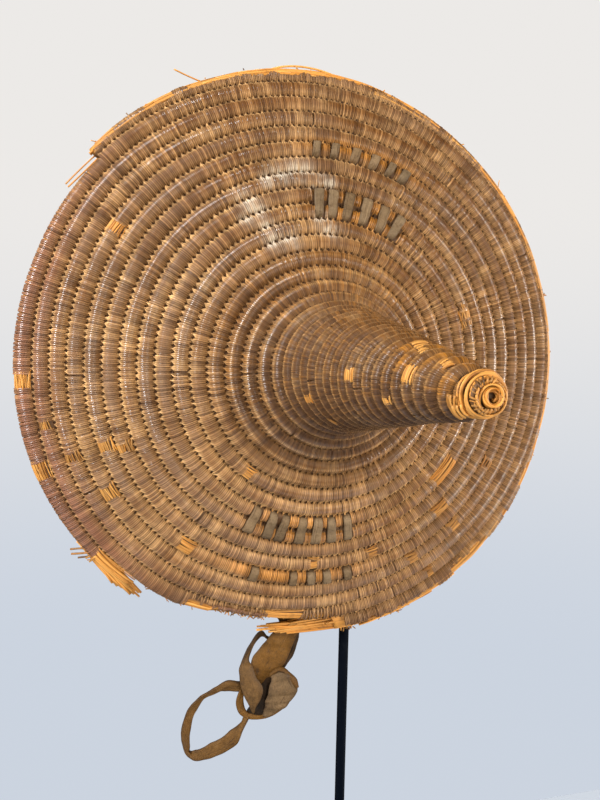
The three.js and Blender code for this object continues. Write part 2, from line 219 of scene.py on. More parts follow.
KNOT_TURN = (
    ((-28, -270, -20), (-25, -274, -27)), ((-35, -262, -18), (-33, -271, -28)),
    ((-42, -266, -16), (-38, -274, -27)), ((-49, -275, -14), (-44, -283, -24)),
    ((-54, -285, -11), (-48, -290, -18)), ((-58, -292, -9), (-45, -292, -12)),
    ((-58, -299, -7), (-41, -303, -9)), ((-57, -308, -6), (-35, -313, -7)),
    ((-53, -320, -7), (-36, -323, -8)), ((-48, -331, -9), (-41, -334, -10)),
    ((-45, -340, -12), (-42, -341, -12)),
)
# The strip in the hollow between the flap and the right lobe, painted nearly black as shade.
KNOT_UNDER = (
    ((-36, -303, -20), (-20, -303, -18)), ((-35, -312, -18), (-23, -312, -17)),
    ((-36, -321, -15), (-25, -322, -15)), ((-42, -331, -14.5), (-28, -334, -14)),
    ((-49, -338, -14), (-30, -343, -13.5)), ((-50, -345, -14), (-30, -349, -13.5)),
)
KNOT_TIE = (
    ((-57, -315, -12), (-52, -316, -13)), ((-60, -325, -12), (-53, -326, -13)),
    ((-60, -332, -12), (-52, -333, -13)), ((-57, -340, -12), (-50, -338, -13)),
    ((-49, -346, -12), (-45, -342, -13)), ((-40, -348, -12), (-39, -344, -13)),
    ((-31, -348, -12), (-32, -344, -13)), ((-22, -346, -13), (-24, -342, -14)),
    ((-12, -341, -14), (-14, -339, -15)),
)
CARRYING_LOOP = (
    ((-54, -307, -11), (-54, -318, -13)), ((-58, -306, -10), (-58, -317, -13)),
    ((-69, -304, -9), (-68, -316, -14)), ((-78, -308, -9), (-76, -318, -16)),
    ((-86, -313, -10), (-84, -321, -18)), ((-95, -318, -11), (-91, -324, -18)),
    ((-103, -325, -12), (-97, -332, -17)), ((-108, -334, -12), (-101, -340, -16)),
    ((-112, -347, -12), (-103, -349, -16)), ((-112, -355, -11), (-104, -360, -17)),
    ((-111, -363, -10), (-105, -370, -18)), ((-107, -373, -9), (-105, -375, -17)),
    ((-100, -381, -10), (-100, -372, -13)), ((-90, -382, -11), (-92, -370, -12)),
    ((-78, -380, -12), (-84, -366, -12)), ((-67, -376, -12), (-74, -362, -12)),
    ((-59, -371, -12), (-66, -357, -13)), ((-55, -362, -11), (-59, -354, -15)),
    ((-53, -354, -10), (-54, -351, -17)), ((-47, -344, -11), (-52, -345, -15)),
)

# Strips of the strap: edges, thickness share, steps, grey, bow, tone, crumple, painted shade along the strip
# The main strap gets a painted shadow where it comes over the rim.
STRAP_LOOK = (1.0, 8, 0.0, 0.0, 0.7, 0.5, ((0.6, 0.3), (0.66, 0.9), (0.7, 0.1), (1, 0.2)))
KNOT_STRIPS = (
    # The fold and the knot's hollow get low tone and deep painted shade; the turn is painted darker at its
    # deep start.
    (TAIL_FOLD, 0.7, 8, 0.0, 0.0, 0.05, 0.3, ((0, 1.4),)),
    (KNOT_LOBE, 1.0, 6, 0.6, 0.1, 0.42, 0.8, ((0, 0.0),)),
    (LOBE_ROLL, 1.0, 6, 0.0, 0.3, 0.5, 0.3, ((0, 0.0),)),
    (KNOT_TURN, 1.0, 6, 0.25, 0.08, 0.42, 0.7, ((0, 0.9), (0.35, 0.8), (0.5, 0.0))),
    (KNOT_UNDER, 0.7, 6, 0.0, 0.0, 0.0, 0.3, ((0, 1.8),)),
    (KNOT_TIE, 0.8, 6, 0.0, 0.1, 0.65, 0.3, ((0, 0.0),)),
    (CARRYING_LOOP, 1.0, 6, 0.1, 0.06, 0.5, 0.5, ((0, 0.0),)),
)

# Stand rod, in shield coordinates: bottom, bends and tip
ROD_POINTS = ((49, -529.7, -17), (49, -2, -17), (49, 36, 58), (42, 75, 60.5))
BEND_LENGTH = 16
BEND_STEPS = 9
ROD_STEPS = 8
ROD_SIDES = 28

# Stage, in metres: floor slab, lights with place, size, power and tint, and the camera that took the photo
FLOOR_HALF_WIDTH = 1.1
FLOOR_FRONT = -0.6
FLOOR_BACK = 0.12
FLOOR_THICKNESS = 0.03
LIGHTS = (
    ("left_window", (-2.1, -0.95, 1.75), 0.9, 112, (0.97, 0.98, 1.0)),
    ("front_window", (0.0, -2.3, 0.66), 1.4, 40, (1.0, 0.93, 0.82)),
    ("right_window", (2.35, -0.8, 0.6), 0.8, 80, (1.0, 0.95, 0.88)),
    ("back_fill", (0.6, 2.2, 1.6), 1.6, 16, (1.0, 1.0, 1.0)),
)
LIGHT_AIM = (-0.05, 0.0, 0.5)
WALL_BLEND = (-0.45, 0.25)
CAMERA_PLACE = (-0.1816, -0.4974, 0.5531)
CAMERA_RIGHT = (0.9737, -0.2273, 0.0191)
CAMERA_UP = (0.0, 0.0839, 0.9965)
CAMERA_SENSOR = 36


# Coil maths


def smoothstep(low, high, value):
    """0 below low and 1 above high, with a smooth rise between."""
    share = np.clip((np.asarray(value, float) - low) / (high - low), 0, 1)
    return share * share * (3 - 2 * share)


def table_at(table, place, **ends):
    """Value of a table of pairs at a place between its rows."""
    return np.interp(place, *np.array(table, float).T, **ends)


def side_by_side(*parts):
    """Arrays spread to one shape and set side by side along a last axis."""
    return np.stack(np.broadcast_arrays(*parts), -1)


def smooth_line(points, steps):
    """Points along a centripetal Catmull-Rom line, with so many steps to each span."""
    points = np.asarray(points, float)
    reach = np.vstack((2 * points[0] - points[1], points, 2 * points[-1] - points[-2]))
    share = np.arange(steps)[:, None] / steps
    rows = []
    for a, b, c, d in zip(reach, reach[1:], reach[2:], reach[3:]):
        before = max(np.linalg.norm(b - a), 1e-6) ** 0.5
        span = max(np.linalg.norm(c - b), 1e-6) ** 0.5
        after = max(np.linalg.norm(d - c), 1e-6) ** 0.5
        leave = ((b - a) / before - (c - a) / (before + span) + (c - b) / span) * span
        arrive = ((c - b) / span - (d - b) / (span + after) + (d - c) / after) * span
        cubic = 2 * (b - c) + leave + arrive
        square = 3 * (c - b) - 2 * leave - arrive
        rows.append(b + leave * share + square * share**2 + cubic * share**3)
    return np.vstack(rows + [points[-1:]])


SECTION_LINE = smooth_line(SECTION, 60)
SECTION_SLANT = np.concatenate(([0], np.cumsum(np.linalg.norm(np.diff(SECTION_LINE, axis=0), axis=1))))
SECTION_SLANT -= math.hypot(SECTION[0][0] - SECTION[1][0], SECTION[0][1])
SECTION_WAY = np.gradient(SECTION_LINE, SECTION_SLANT, axis=0)
SECTION_LENGTH = SECTION_SLANT[-1]


def coil_pitch(slant):
    """Width of the coil at a slant distance: widest at the rim, finer on the boss."""
    disc = PITCH_DISC + PITCH_RIM_EXTRA * np.exp(-np.maximum(slant, 0) / PITCH_RIM_FADE)
    return disc - PITCH_BOSS_LOSS * smoothstep(FINE_COIL_FROM, FINE_COIL_TO, slant)


def seam_table():
    """Slant distance of the seam for each whole degree of coil, going in from the right-hand rim."""
    table = [0.0]
    while table[-1] < SECTION_LENGTH:
        table.append(table[-1] + float(coil_pitch(table[-1])) / 360)
    return np.array(table)


SEAM_TABLE = seam_table()


def boss_sag(out):
    """How far the boss droops at a distance out of the rim plane."""
    return BOSS_DROOP * np.clip((out - BOSS_START) / BOSS_LENGTH, 0, 1) ** 2


def shield_point(slant, degrees, offset):
    """Shield coordinates of a point: slant distance in from the rim line, angle, and offset outwards."""
    slant, degrees, offset = np.moveaxis(side_by_side(slant, degrees, offset).astype(float), -1, 0)
    across, out, way_across, way_out = (
        np.interp(slant, SECTION_SLANT, column) for column in (*SECTION_LINE.T, *SECTION_WAY.T)
    )
    radius = across + way_out * offset
    out = out - way_across * offset
    angle = np.radians(degrees)
    return np.stack((radius * np.cos(angle), radius * np.sin(angle) - boss_sag(out), out), -1)


def seam_radius(slant):
    """Radius of the seam line at a slant distance."""
    return np.interp(slant, SECTION_SLANT, SECTION_LINE[:, 0])


def seam_slant(running):
    """Slant distance of the seam at a running angle."""
    running = np.asarray(running, float)
    inside = np.interp(-running, np.arange(len(SEAM_TABLE)), SEAM_TABLE)
    return np.where(running >= 0, -running / 360 * coil_pitch(0.0), inside)


def is_lost(running):
    """Whether the outermost turn is lost here."""
    return (running > LOST_FROM - 360) & (running < LOST_TO - 360)


def edge_slant(running):
    """Slant distance of the seam or, on the last turn, of the worn outer edge."""
    running = np.asarray(running, float)
    turns = np.minimum(np.floor((running - COIL_END) / 360) + 2, 0)
    drift = table_at(SEAM_DRIFT, running - 360 * turns) * DRIFT_KEPT**-turns
    drift = drift + table_at(SEAM_FRAY, running)
    return np.where(running < COIL_END - 360, seam_slant(running) + drift, table_at(RIM_WEAR, running))


def broken_edge_slant(running):
    """The same, drawn in to a stub where the outermost turn is lost."""
    running = np.asarray(running, float)
    return np.where(is_lost(running), edge_slant(running - 360) - LOST_STUB, edge_slant(running))


def coil_width(running):
    """Width of the coil that lies outside the seam at a running angle."""
    return edge_slant(running) - edge_slant(running + 360)


def coil_middle(running):
    """Slant distance of that coil's middle."""
    return (edge_slant(running) + edge_slant(running + 360)) / 2


def arch(share):
    """Height of a coil's round back over its seams, at a share of its width."""
    return np.abs(np.sin(np.pi * np.asarray(share, float))) ** 0.78


def face_crest(slant):
    """Height of the wrapped coil's back over its seams, as a share of the pitch."""
    fine = smoothstep(FINE_COIL_FROM, FINE_COIL_TO, slant)
    return FACE_CREST_SHARE + (BOSS_CREST_SHARE - FACE_CREST_SHARE) * fine


def tip_inset(slant):
    """How far the wrapped coil draws in at the boss's tip."""
    return TIP_INSET * smoothstep(SECTION_LENGTH - 36, SECTION_LENGTH - 14, slant)


def wander(rng, count, spread):
    """A slow random drift about nought, one value for each place along a line."""
    noise = rng.normal(size=count + 2 * spread)
    window = np.hanning(2 * spread + 1)
    return np.convolve(noise, window / math.sqrt((window**2).sum()), "valid")[:count]


# Mesh building


def grid_faces(count, along, across, wrap, flip):
    """Quads of so many like grids of points, and where each corner lies in the group's part of the map."""
    sides = across if wrap else across - 1
    grid, row, side = np.meshgrid(np.arange(count), np.arange(along - 1), np.arange(sides), indexing="ij")
    columns = max(1, math.ceil(math.sqrt(count)))
    lines = math.ceil(count / columns)
    quads = []
    places = []
    for down, over in ((0, 0), (1, 0), (1, 1), (0, 1))[:: -1 if flip else 1]:
        quads.append(grid * along * across + (row + down) * across + (side + over) % across)
        u = (grid % columns + 0.05 + 0.9 * (side + over) / sides) / columns
        v = (grid // columns + 0.05 + 0.9 * (row + down) / (along - 1)) / lines
        places.append(np.stack((u, v), -1))
    return np.stack(quads, -1).reshape(-1, 4), np.stack(places, -2).reshape(-1, 4, 2)


class PieceMesh:
    """Collects points in shield coordinates, with faces, map and paint, and makes one piece of them."""

    paints = ("weave", "stain", "wear", "fibre")

    def __init__(self):
        self.points = []
        self.faces = []
        self.places = []
        self.paint = {name: [] for name in self.paints}
        self.count = 0

    def add(self, points, faces, places, **paint):
        points = np.asarray(points, float).reshape(-1, 3)
        for part, place in zip(faces, places):
            self.faces.append(np.asarray(part) + self.count)
            self.places.append(np.asarray(place, float))
        for name in self.paints:
            values = np.reshape(paint.get(name, np.zeros(3)), (-1, 3))
            self.paint[name].append(np.broadcast_to(values, points.shape))
        self.points.append(points)
        self.count += len(points)

    def add_grids(self, points, wrap=False, flip=False, **paint):
        """Adds grids of points, shaped (grids, along, across, 3)."""
        count, along, across = points.shape[:3]
        quads, places = grid_faces(count, along, across, wrap, flip)
        self.add(points, [quads], [places], **paint)

    def add_tubes(self, paths, radii, sides, **paint):
        """Adds closed tubes along paths shaped (tubes, places, 3), with a radius at each place."""
        paths = np.asarray(paths, float)
        radii = np.broadcast_to(radii, paths.shape[:2])
        paths = np.concatenate((paths[:, :1], paths, paths[:, -1:]), 1)
        radii = np.concatenate((radii[:, :1] * 0.03, radii, radii[:, -1:] * 0.03), 1)
        ways = np.gradient(paths[:, 1:-1], axis=1)
        ways = np.concatenate((ways[:, :1], ways, ways[:, -1:]), 1)
        ways /= np.linalg.norm(ways, axis=-1, keepdims=True)
        steep = np.abs(ways[:, :1, 2:]).max(axis=1, keepdims=True) > 0.9
        aside = np.cross(ways, np.where(steep, (1.0, 0.0, 0.0), (0.0, 0.0, 1.0)))
        aside /= np.linalg.norm(aside, axis=-1, keepdims=True)
        above = np.cross(ways, aside)
        turn = 2 * np.pi * np.arange(sides) / sides
        ring = aside[:, :, None] * np.cos(turn)[:, None] + above[:, :, None] * np.sin(turn)[:, None]
        grids = paths[:, :, None] + ring * radii[:, :, None, None]
        self.add_grids(grids, wrap=True, flip=True, **paint)

    def map_bands(self, points):
        """Each group's place on the map: a band as high as its share of the area."""
        areas = []
        for part in self.faces:
            a, b, c = (points[part[:, corner]] for corner in range(3))
            area = np.linalg.norm(np.cross(b - a, c - a), axis=1).sum()
            areas.append(area if part.shape[1] == 4 else area / 2)
        shares = np.maximum(np.array(areas), sum(areas) * 0.004)
        tops = np.concatenate(([0], np.cumsum(shares / shares.sum())))
        return [place * (1, high - low) + (0, low) for place, low, high in zip(self.places, tops, tops[1:])]

    def make(self, name, material, replaces=()):
        points = np.concatenate(self.points)
        world = np.stack((points[:, 0], -points[:, 2], points[:, 1]), -1) + RIM_CENTRE
        mesh = bpy.data.meshes.new(name)
        corners = np.concatenate([part.ravel() for part in self.faces])
        sizes = np.concatenate([np.full(len(part), part.shape[1]) for part in self.faces])
        mesh.vertices.add(len(world))
        mesh.vertices.foreach_set("co", (world * MM).astype(np.float32).ravel())
        mesh.loops.add(len(corners))
        mesh.loops.foreach_set("vertex_index", corners.astype(np.int32))
        mesh.polygons.add(len(sizes))
        mesh.polygons.foreach_set("loop_start", (np.cumsum(sizes) - sizes).astype(np.int32))
        mesh.update(calc_edges=True)
        map_layer = mesh.uv_layers.new(name="OFBake")
        bands = np.concatenate([place.reshape(-1, 2) for place in self.map_bands(points)])
        map_layer.uv.foreach_set("vector", bands.astype(np.float32).ravel())
        for paint, values in self.paint.items():
            layer = mesh.attributes.new(paint, "FLOAT_VECTOR", "POINT")
            layer.data.foreach_set("vector", np.concatenate(values).astype(np.float32).ravel())
        mesh.shade_smooth()
        mesh.materials.append(material)
        if mesh.validate():
            raise RuntimeError(f"{name} has broken faces")
        piece = bpy.data.objects.new(name, mesh)
        bpy.context.scene.collection.objects.link(piece)
        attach(piece, "root")
        if replaces:
            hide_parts(*replaces)
        return piece


# Shader maths


class Value:
    """A shader socket that takes part in Python expressions."""

    def __init__(self, tree, socket):
        self.tree = tree
        self.socket = socket

    def math(self, operation, *others, clamp=False, first=None):
        node = self.tree.nodes.new("ShaderNodeMath")
        node.operation = operation
        node.use_clamp = clamp
        for socket, value in zip(node.inputs, (self if first is None else first, *others)):
            if isinstance(value, Value):
                self.tree.links.new(value.socket, socket)
            else:
                socket.default_value = value
        return Value(self.tree, node.outputs[0])

    def __add__(self, other):
        return self.math("ADD", other)

    def __sub__(self, other):
        return self.math("SUBTRACT", other)

    def __rsub__(self, other):
        return self.math("SUBTRACT", self, first=other)

    def __mul__(self, other):
        return self.math("MULTIPLY", other)

    __radd__ = __add__
    __rmul__ = __mul__

    def clamped(self):
        return self.math("ADD", 0.0, clamp=True)

    def step(self, low, high):
        """0 below low and 1 above high, or the other way round."""
        node = self.tree.nodes.new("ShaderNodeMapRange")
        node.interpolation_type = "SMOOTHSTEP"
        self.tree.links.new(self.socket, node.inputs[0])
        ends = (low, high, 0.0, 1.0) if low < high else (high, low, 1.0, 0.0)
        for socket, value in zip(node.inputs[1:5], ends):
            socket.default_value = value
        return Value(self.tree, node.outputs[0])


class Finish:
    """A node-built material with one Principled shader, or a node-built world."""

    def __init__(self, name, kind="materials", shader="Principled BSDF", place="Object"):
        self.material = getattr(bpy.data, kind).new(name)
        self.material.use_nodes = True
        self.tree = self.material.node_tree
        self.shader = self.tree.nodes[shader]
        self.place = Value(self.tree, self.node("ShaderNodeTexCoord").outputs[place])

    def node(self, kind, settings=(), **sockets):
        node = self.tree.nodes.new(kind)
        for name, value in dict(settings).items():
            setattr(node, name, value)
        for name, value in sockets.items():
            self.fill(node.inputs[int(name[1:]) if name[1:].isdigit() else name.replace("_", " ")], value)
        return node

    def fill(self, socket, value):
        if isinstance(value, Value):
            self.tree.links.new(value.socket, socket)
        else:
            socket.default_value = value

    def split(self, vector):
        """The three numbers of a vector."""
        node = self.node("ShaderNodeSeparateXYZ", Vector=vector)
        return tuple(Value(self.tree, output) for output in node.outputs)

    def vector(self, name):
        node = self.node("ShaderNodeAttribute", {"attribute_name": name})
        return Value(self.tree, node.outputs["Vector"])

    def paint(self, name):
        """The three numbers of a mesh's paint at each point."""
        return self.split(self.vector(name))

    def noise(self, scale, detail=2.0, roughness=0.5, place=None, stretch=None):
        place = self.place if place is None else place
        if stretch:
            scaled = self.node("ShaderNodeVectorMath", {"operation": "MULTIPLY"}, _0=place, _1=stretch)
            place = Value(self.tree, scaled.outputs[0])
        node = self.node("ShaderNodeTexNoise", Vector=place, Scale=scale, Detail=detail, Roughness=roughness)
        return Value(self.tree, node.outputs[0])

    def mix(self, first, second, share):
        """A colour between two colours."""
        node = self.node("ShaderNodeMix", {"data_type": "RGBA"}, _0=share)
        for number, colour in ((6, first), (7, second)):
            self.fill(node.inputs[number], colour if isinstance(colour, Value) else (*colour[:3], 1.0))
        return Value(self.tree, node.outputs[2])

    def shaded(self, colour, brightness):
        """A colour made lighter or darker by a number."""
        node = self.node("ShaderNodeVectorMath", {"operation": "SCALE"}, _0=colour, Scale=brightness)
        return Value(self.tree, node.outputs[0])

    def bump(self, height, strength, distance):
        node = self.node("ShaderNodeBump", Height=height, Strength=strength, Distance=distance)
        self.fill(self.shader.inputs["Normal"], Value(self.tree, node.outputs[0]))

    def set(self, **sockets):
        for name, value in sockets.items():
            self.fill(self.shader.inputs[name.replace("_", " ")], value)
        return self.material


# Settings


def length(name, description, millimetres):
    return bpy.props.FloatProperty(
        name=name, description=description, default=millimetres * MM, unit="LENGTH", precision=4
    )


def colour(name, description, red, green, blue):
    return bpy.props.FloatVectorProperty(
        name=name, description=description, default=(red, green, blue), subtype="COLOR", min=0, max=1
    )


class BasketSettings(bpy.types.PropertyGroup):
    """Sizes and colours of the coiled basket."""

    stitch_width: length("Stitch width", "Width of one wrapped strip along the coil", 1.56)
    straw_radius: length("Straw radius", "Radius of one grass straw of the bundle", 1.05)
    wrap_crest: colour("Worn wrap", "Weathered wrap on a coil's back", 0.228, 0.13, 0.07)
    wrap_body: colour("Wrap", "Wrap on a coil's flanks", 0.174, 0.067, 0.013)
    wrap_seam: colour("Sheltered wrap", "Wrap close to the seams", 0.65, 0.39, 0.165)
    wrap_red: colour("Red wrap", "Glossy reddish wrap of the outer coils", 0.24, 0.1, 0.055)
    # Also the colour of the painted shade on strip edges, boss grooves, stitch holes and the core under the
    # wrap.
    seam_dark: colour("Seam dirt", "Dirt in the seams", 0.04, 0.015, 0.0035)
    residue: colour("Residue", "Chalky residue on the face", 0.75, 0.66, 0.52)
    straw_gold: colour("Straw", "Bare grass straw", 0.58, 0.23, 0.026)
    straw_pale: colour("Pale straw", "Light streaks of the straw", 0.74, 0.38, 0.09)
    straw_dark: colour("Dark straw", "Dark streaks of the straw", 0.2, 0.075, 0.015)


class HideSettings(bpy.types.PropertyGroup):
    """Sizes and colours of the hide strap and thongs."""

    strap_thickness: length("Strap thickness", "Thickness of the hide strap", 2.4)
    thong_width: length("Thong width", "Width of one sewn bar", 7.0)
    hide_brown: colour("Hide", "Hide of the strap", 0.112, 0.05, 0.0075)
    hide_grey: colour("Worn hide", "Greyed hide", 0.15, 0.103, 0.057)
    # Also the colour of the painted shade on the strap's edges, its fold and the knot's hollow.
    hide_dark: colour("Dark hide", "Creases and edges of the hide", 0.035, 0.017, 0.006)


class StandSettings(bpy.types.PropertyGroup):
    """Sizes and colours of the stand."""

    rod_radius: length("Rod radius", "Radius of the steel rod", 5)
    steel_black: colour("Black steel", "Paint of the stand", 0.0016, 0.0026, 0.0055)


class StageSettings(bpy.types.PropertyGroup):
    """Floor, light and camera."""

    floor: colour("Floor", "Pale floor", 0.475, 0.54, 0.63)
    wall_low: colour("Low wall", "Background low down", 0.6, 0.655, 0.74)
    wall_high: colour("High wall", "Background higher up", 0.84, 0.82, 0.8)
    bounce: colour("Bounce", "Warm light from all around", 0.86, 0.58, 0.32)
    ambient: bpy.props.FloatProperty(
        name="Ambient", description="Share of the background's light that falls on the shield", default=0.14
    )
    lens: bpy.props.FloatProperty(
        name="Lens", description="Focal length of the camera", default=27.0, unit="CAMERA"
    )


# Finishes


def wrap_finish(basket):
    """Split-fibre wrap: greyed and polished on the coils' backs, tan towards the seams and darker at each
    coil's inner seam, with painted shade on the strips' edges, in the boss's grooves and in the stitch holes.
    """
    look = Finish("coil_wrap")
    tone, seam, darkening = look.paint("weave")
    white, red, gold = look.paint("stain")
    polish, grey, crest = look.paint("wear")
    broad = look.noise(16.0, 3.0, 0.6)
    cloudy = look.noise(70.0, 3.0, 0.6)
    patchy = look.noise(36.0, 4.0, 0.65)
    streak = look.noise(1.0, 2.0, 0.6, look.vector("fibre"))
    worn = (1 - seam).clamped() * (broad.step(0.34, 0.62) * 0.5 + grey * 0.5)
    # The seam share also brings in the painted highlight along the boss's crests.
    wrap = look.mix(basket.wrap_body, basket.wrap_seam, (seam * 0.7 + tone * 0.35 - 0.1).clamped())
    wrap = look.mix(wrap, basket.wrap_crest, (worn * (0.6 + cloudy * 0.7)).clamped())
    wrap = look.mix(wrap, basket.wrap_seam, patchy.step(0.52, 0.68) * 0.35)
    wrap = look.mix(wrap, basket.wrap_body, patchy.step(0.46, 0.32) * 0.45)
    wrap = look.mix(wrap, basket.wrap_red, (red * (0.9 - seam * 0.6)).clamped())
    # The gold share includes painted light: the boss is more golden on its upper side.
    wrap = look.mix(wrap, basket.straw_gold, (gold * 0.68).clamped())
    wrap = look.shaded(wrap, 0.35 + tone * 0.84 + streak * 0.52)
    chalk = white * (1.1 - crest * 0.8) * (cloudy.step(0.4, 0.6) * 0.55 + streak.step(0.42, 0.6) * 0.6)
    wrap = look.mix(wrap, basket.residue, chalk.clamped())
    # seam_dark over the darkening: the darker inner seams, and painted shade on strip edges, boss grooves and
    # stitch holes.
    wrap = look.mix(wrap, basket.seam_dark, (darkening * 0.95).clamped())
    look.bump(streak, 0.35, 0.0004)
    return look.set(
        Base_Color=wrap,
        Roughness=(0.62 - crest * 0.08 + cloudy * 0.12 + chalk * 0.3).clamped(),
        Coat_Weight=(polish * 1.25 * (1 - chalk) + tone * 0.1).clamped(),
        Coat_Roughness=0.22,
        Specular_IOR_Level=0.22,
    )


def straw_finish(basket):
    """Bare golden grass with streaks along each straw, darkened by dirt and, where the core lies under the
    stitches, by painted shade.
    """
    look = Finish("bare_straw")
    tone, _, darkening = look.paint("weave")
    streak = look.noise(1.0, 3.0, 0.6, look.vector("fibre"))
    spots = look.noise(120.0, 3.0, 0.6)
    pale = tone * 0.8 + streak.step(0.5, 0.7) * 0.4
    dark = streak.step(0.48, 0.3) * 0.7 + spots.step(0.56, 0.72) * 0.4
    straw = look.mix(basket.straw_gold, basket.straw_pale, pale.clamped())
    straw = look.mix(straw, basket.straw_dark, dark.clamped())
    straw = look.mix(straw, basket.seam_dark, darkening.clamped())
    look.bump(streak, 0.4, 0.0004)
    return look.set(Base_Color=straw, Roughness=0.5 + streak * 0.2)


def hide_finish(hide):
    """Stiff dried hide with grain, creases and greyed wear, and painted shade on its edges, folds and
    hollows.
    """
    look = Finish("dried_hide")
    tone, edge, grey = look.paint("weave")
    grain = look.noise(900.0, 3.0, 0.6)
    mottled = look.noise(230.0, 4.0, 0.7)
    cloudy = look.noise(60.0, 4.0, 0.65)
    lines = look.noise(1.0, 3.0, 0.6, look.vector("fibre"))
    skin = look.mix(hide.hide_brown, hide.hide_grey, (grey + cloudy.step(0.5, 0.75) * 0.2).clamped())
    # hide_dark over painted shade on edges and folds, over creases and over mottling.
    dark = edge * 0.5 + lines.step(0.46, 0.3) * 0.55 + mottled.step(0.5, 0.66) * 0.45
    skin = look.mix(skin, hide.hide_dark, dark.clamped())
    light = cloudy.step(0.36, 0.66) * 0.4 + mottled.step(0.3, 0.7) * 0.3 + grain.step(0.3, 0.7) * 0.24
    skin = look.shaded(skin, 0.06 + tone + light)
    look.bump(grain * 0.3 + mottled * 0.7 + lines * 0.6, 0.8, 0.0012)
    return look.set(Base_Color=skin, Roughness=(0.46 + cloudy * 0.35).clamped(), Specular_IOR_Level=0.18)


def steel_finish(stand):
    """Black painted steel with a fine texture and slight scuffs."""
    look = Finish("black_steel")
    grain = look.noise(1400.0, 2.0, 0.5)
    scuff = look.noise(40.0, 5.0, 0.7)
    paint = look.mix(stand.steel_black, (0.012, 0.014, 0.018), scuff.step(0.55, 0.75) * 0.6)
    look.bump(grain, 0.15, 0.0002)
    return look.set(Base_Color=paint, Roughness=(0.34 + scuff * 0.25).clamped(), Specular_IOR_Level=0.03)


# Paint of the basket's surface


def surface_stain(points):
    """White residue, reddish gloss and sheltered or bare gold at points of the front."""
    x, y, out = points[..., 0], points[..., 1], points[..., 2]
    white = np.zeros(x.shape)
    for degrees, radius, size in RESIDUE:
        angle = math.radians(degrees)
        away = np.hypot(x - radius * math.cos(angle), y - radius * math.sin(angle))
        white = np.maximum(white, np.exp(-((away / size) ** 2)))
    radius = np.hypot(x, y)
    degrees = np.degrees(np.arctan2(y, x)) % 360
    left = smoothstep(*RED_ANGLES[:2], degrees) * (1 - smoothstep(*RED_ANGLES[2:], degrees))
    red = left * smoothstep(*RED_RADII, radius)
    gold = np.zeros(x.shape)
    for centre, spread, inner_row in SHELTERED:
        near = np.exp(-(((degrees - centre) / spread) ** 4))
        gold = np.maximum(gold, 0.8 * near * np.exp(-(((radius - SHELTERED_OUTER_ROW) / 7) ** 4)))
        gold = np.maximum(gold, 0.9 * near * np.exp(-(((radius - inner_row) / 14) ** 4)))
    for centre, place, size in BOSS_GOLD:
        angle = math.radians(centre)
        rest = table_at(BOSS_SECTION, place)
        aside = np.hypot(x - rest * math.cos(angle), y - rest * math.sin(angle))
        away = np.hypot(aside, (out - place) * 0.8)
        gold = np.maximum(gold, 1.1 * np.exp(-((away / size) ** 2)))
    return np.stack((white, red, gold), -1)


def stitch_narrowing(running):
    """Share of the usual stitch width: stitches get narrower towards the boss's tip."""
    wide = smoothstep(*STITCH_NARROWING, seam_radius(coil_middle(running)))
    return TIP_STITCH_SHARE + (1 - TIP_STITCH_SHARE) * wide


def stitch_angles(first, last, width):
    """Running angles of stitches, a stitch width apart along the coil's back."""
    fine = np.arange(first, last, ANGLE_STEP)
    steps = seam_radius(coil_middle(fine)) * math.radians(ANGLE_STEP) / (width * stitch_narrowing(fine))
    along = np.concatenate(([0], np.cumsum(steps)))[:-1]
    return np.interp(np.arange(int(along[-1])) + 0.5, along, fine)


def is_rim(running):
    """Whether the coil's outer edge is free here."""
    outer = running + 360
    return ((outer > COIL_END - 360) & ~is_lost(outer)) | is_lost(outer + 360)


def in_patch(running):
    """Whether a stitch crosses a bare patch that spans the middle of its coil."""
    inside = np.zeros(len(running), bool)
    radius = seam_radius(edge_slant(running))
    for degrees, seam, extent, low, high, _ in BARE_PATCHES:
        reach = np.degrees(extent / 2 / radius)
        inside |= (np.abs(running - (degrees - 360 * seam)) < reach) & (low < 0.5 < high)
    return inside


# Stitches

FIRST_RUNNING = -float(np.interp(SECTION_LENGTH - 2, SEAM_TABLE, np.arange(len(SEAM_TABLE))))

# A stitch over the front: share of the coil's width, lift, width share, drift to its tooth's middle, lean
FRONT_STITCH = np.array((
    (0.00, -1.6, 0.62, 0.0, 0.10), (0.07, -0.7, 0.86, 0.0, 0.08), (0.18, 0.1, 0.98, 0.0, 0.05),
    (0.36, 0.4, 1.0, 0.0, 0.02), (0.55, 0.45, 1.0, 0.0, 0.0), (0.69, 0.42, 1.0, 0.0, -0.04),
    (0.81, 0.32, 0.96, 0.06, -0.09), (0.91, 0.2, 0.72, 0.3, -0.2), (0.99, 0.0, 0.5, 0.55, -0.3),
    (1.065, -0.45, 0.28, 0.8, -0.4),
))
BACK_STITCH = np.array((
    (0.02, -1.8, 0.6, 0.0, 0.3), (0.2, 0.2, 1.0, 0.0, 0.15), (0.5, 0.35, 1.0, 0.0, 0.0),
    (0.8, 0.2, 1.0, 0.0, -0.15), (0.98, -1.8, 0.6, 0.0, -0.3),
))
# A stitch round the rim: share of the coil's width, offset as a share of the pitch
RIM_STITCH = np.array((
    (0.01, -0.15), (0.1, 0.1), (0.26, 0.23), (0.5, 0.28), (0.73, 0.24), (0.92, 0.11), (1.03, -0.07),
    (1.075, -0.22), (1.03, -0.38), (0.9, -0.53), (0.62, -0.64), (0.34, -0.62), (0.1, -0.48), (0.02, -0.3),
))
ACROSS = np.array((-1.0, 0.0, 1.0))
EDGE_DROP = np.array((0.55, 0.0, 0.55))
BACK_EDGE_DROP = np.array((0.7, 0.0, 0.7))
# Painted shade along each strip's edges, where it meets its neighbours.
STRIP_SHADE = 0.72
# Running angle that the painted light follows: the disc is painted darker and less grey there, the boss
# lighter and more golden.
LIT_SIDE = 65
TORN_WRAP = (249, 262)
TORN_STRIPS = 110


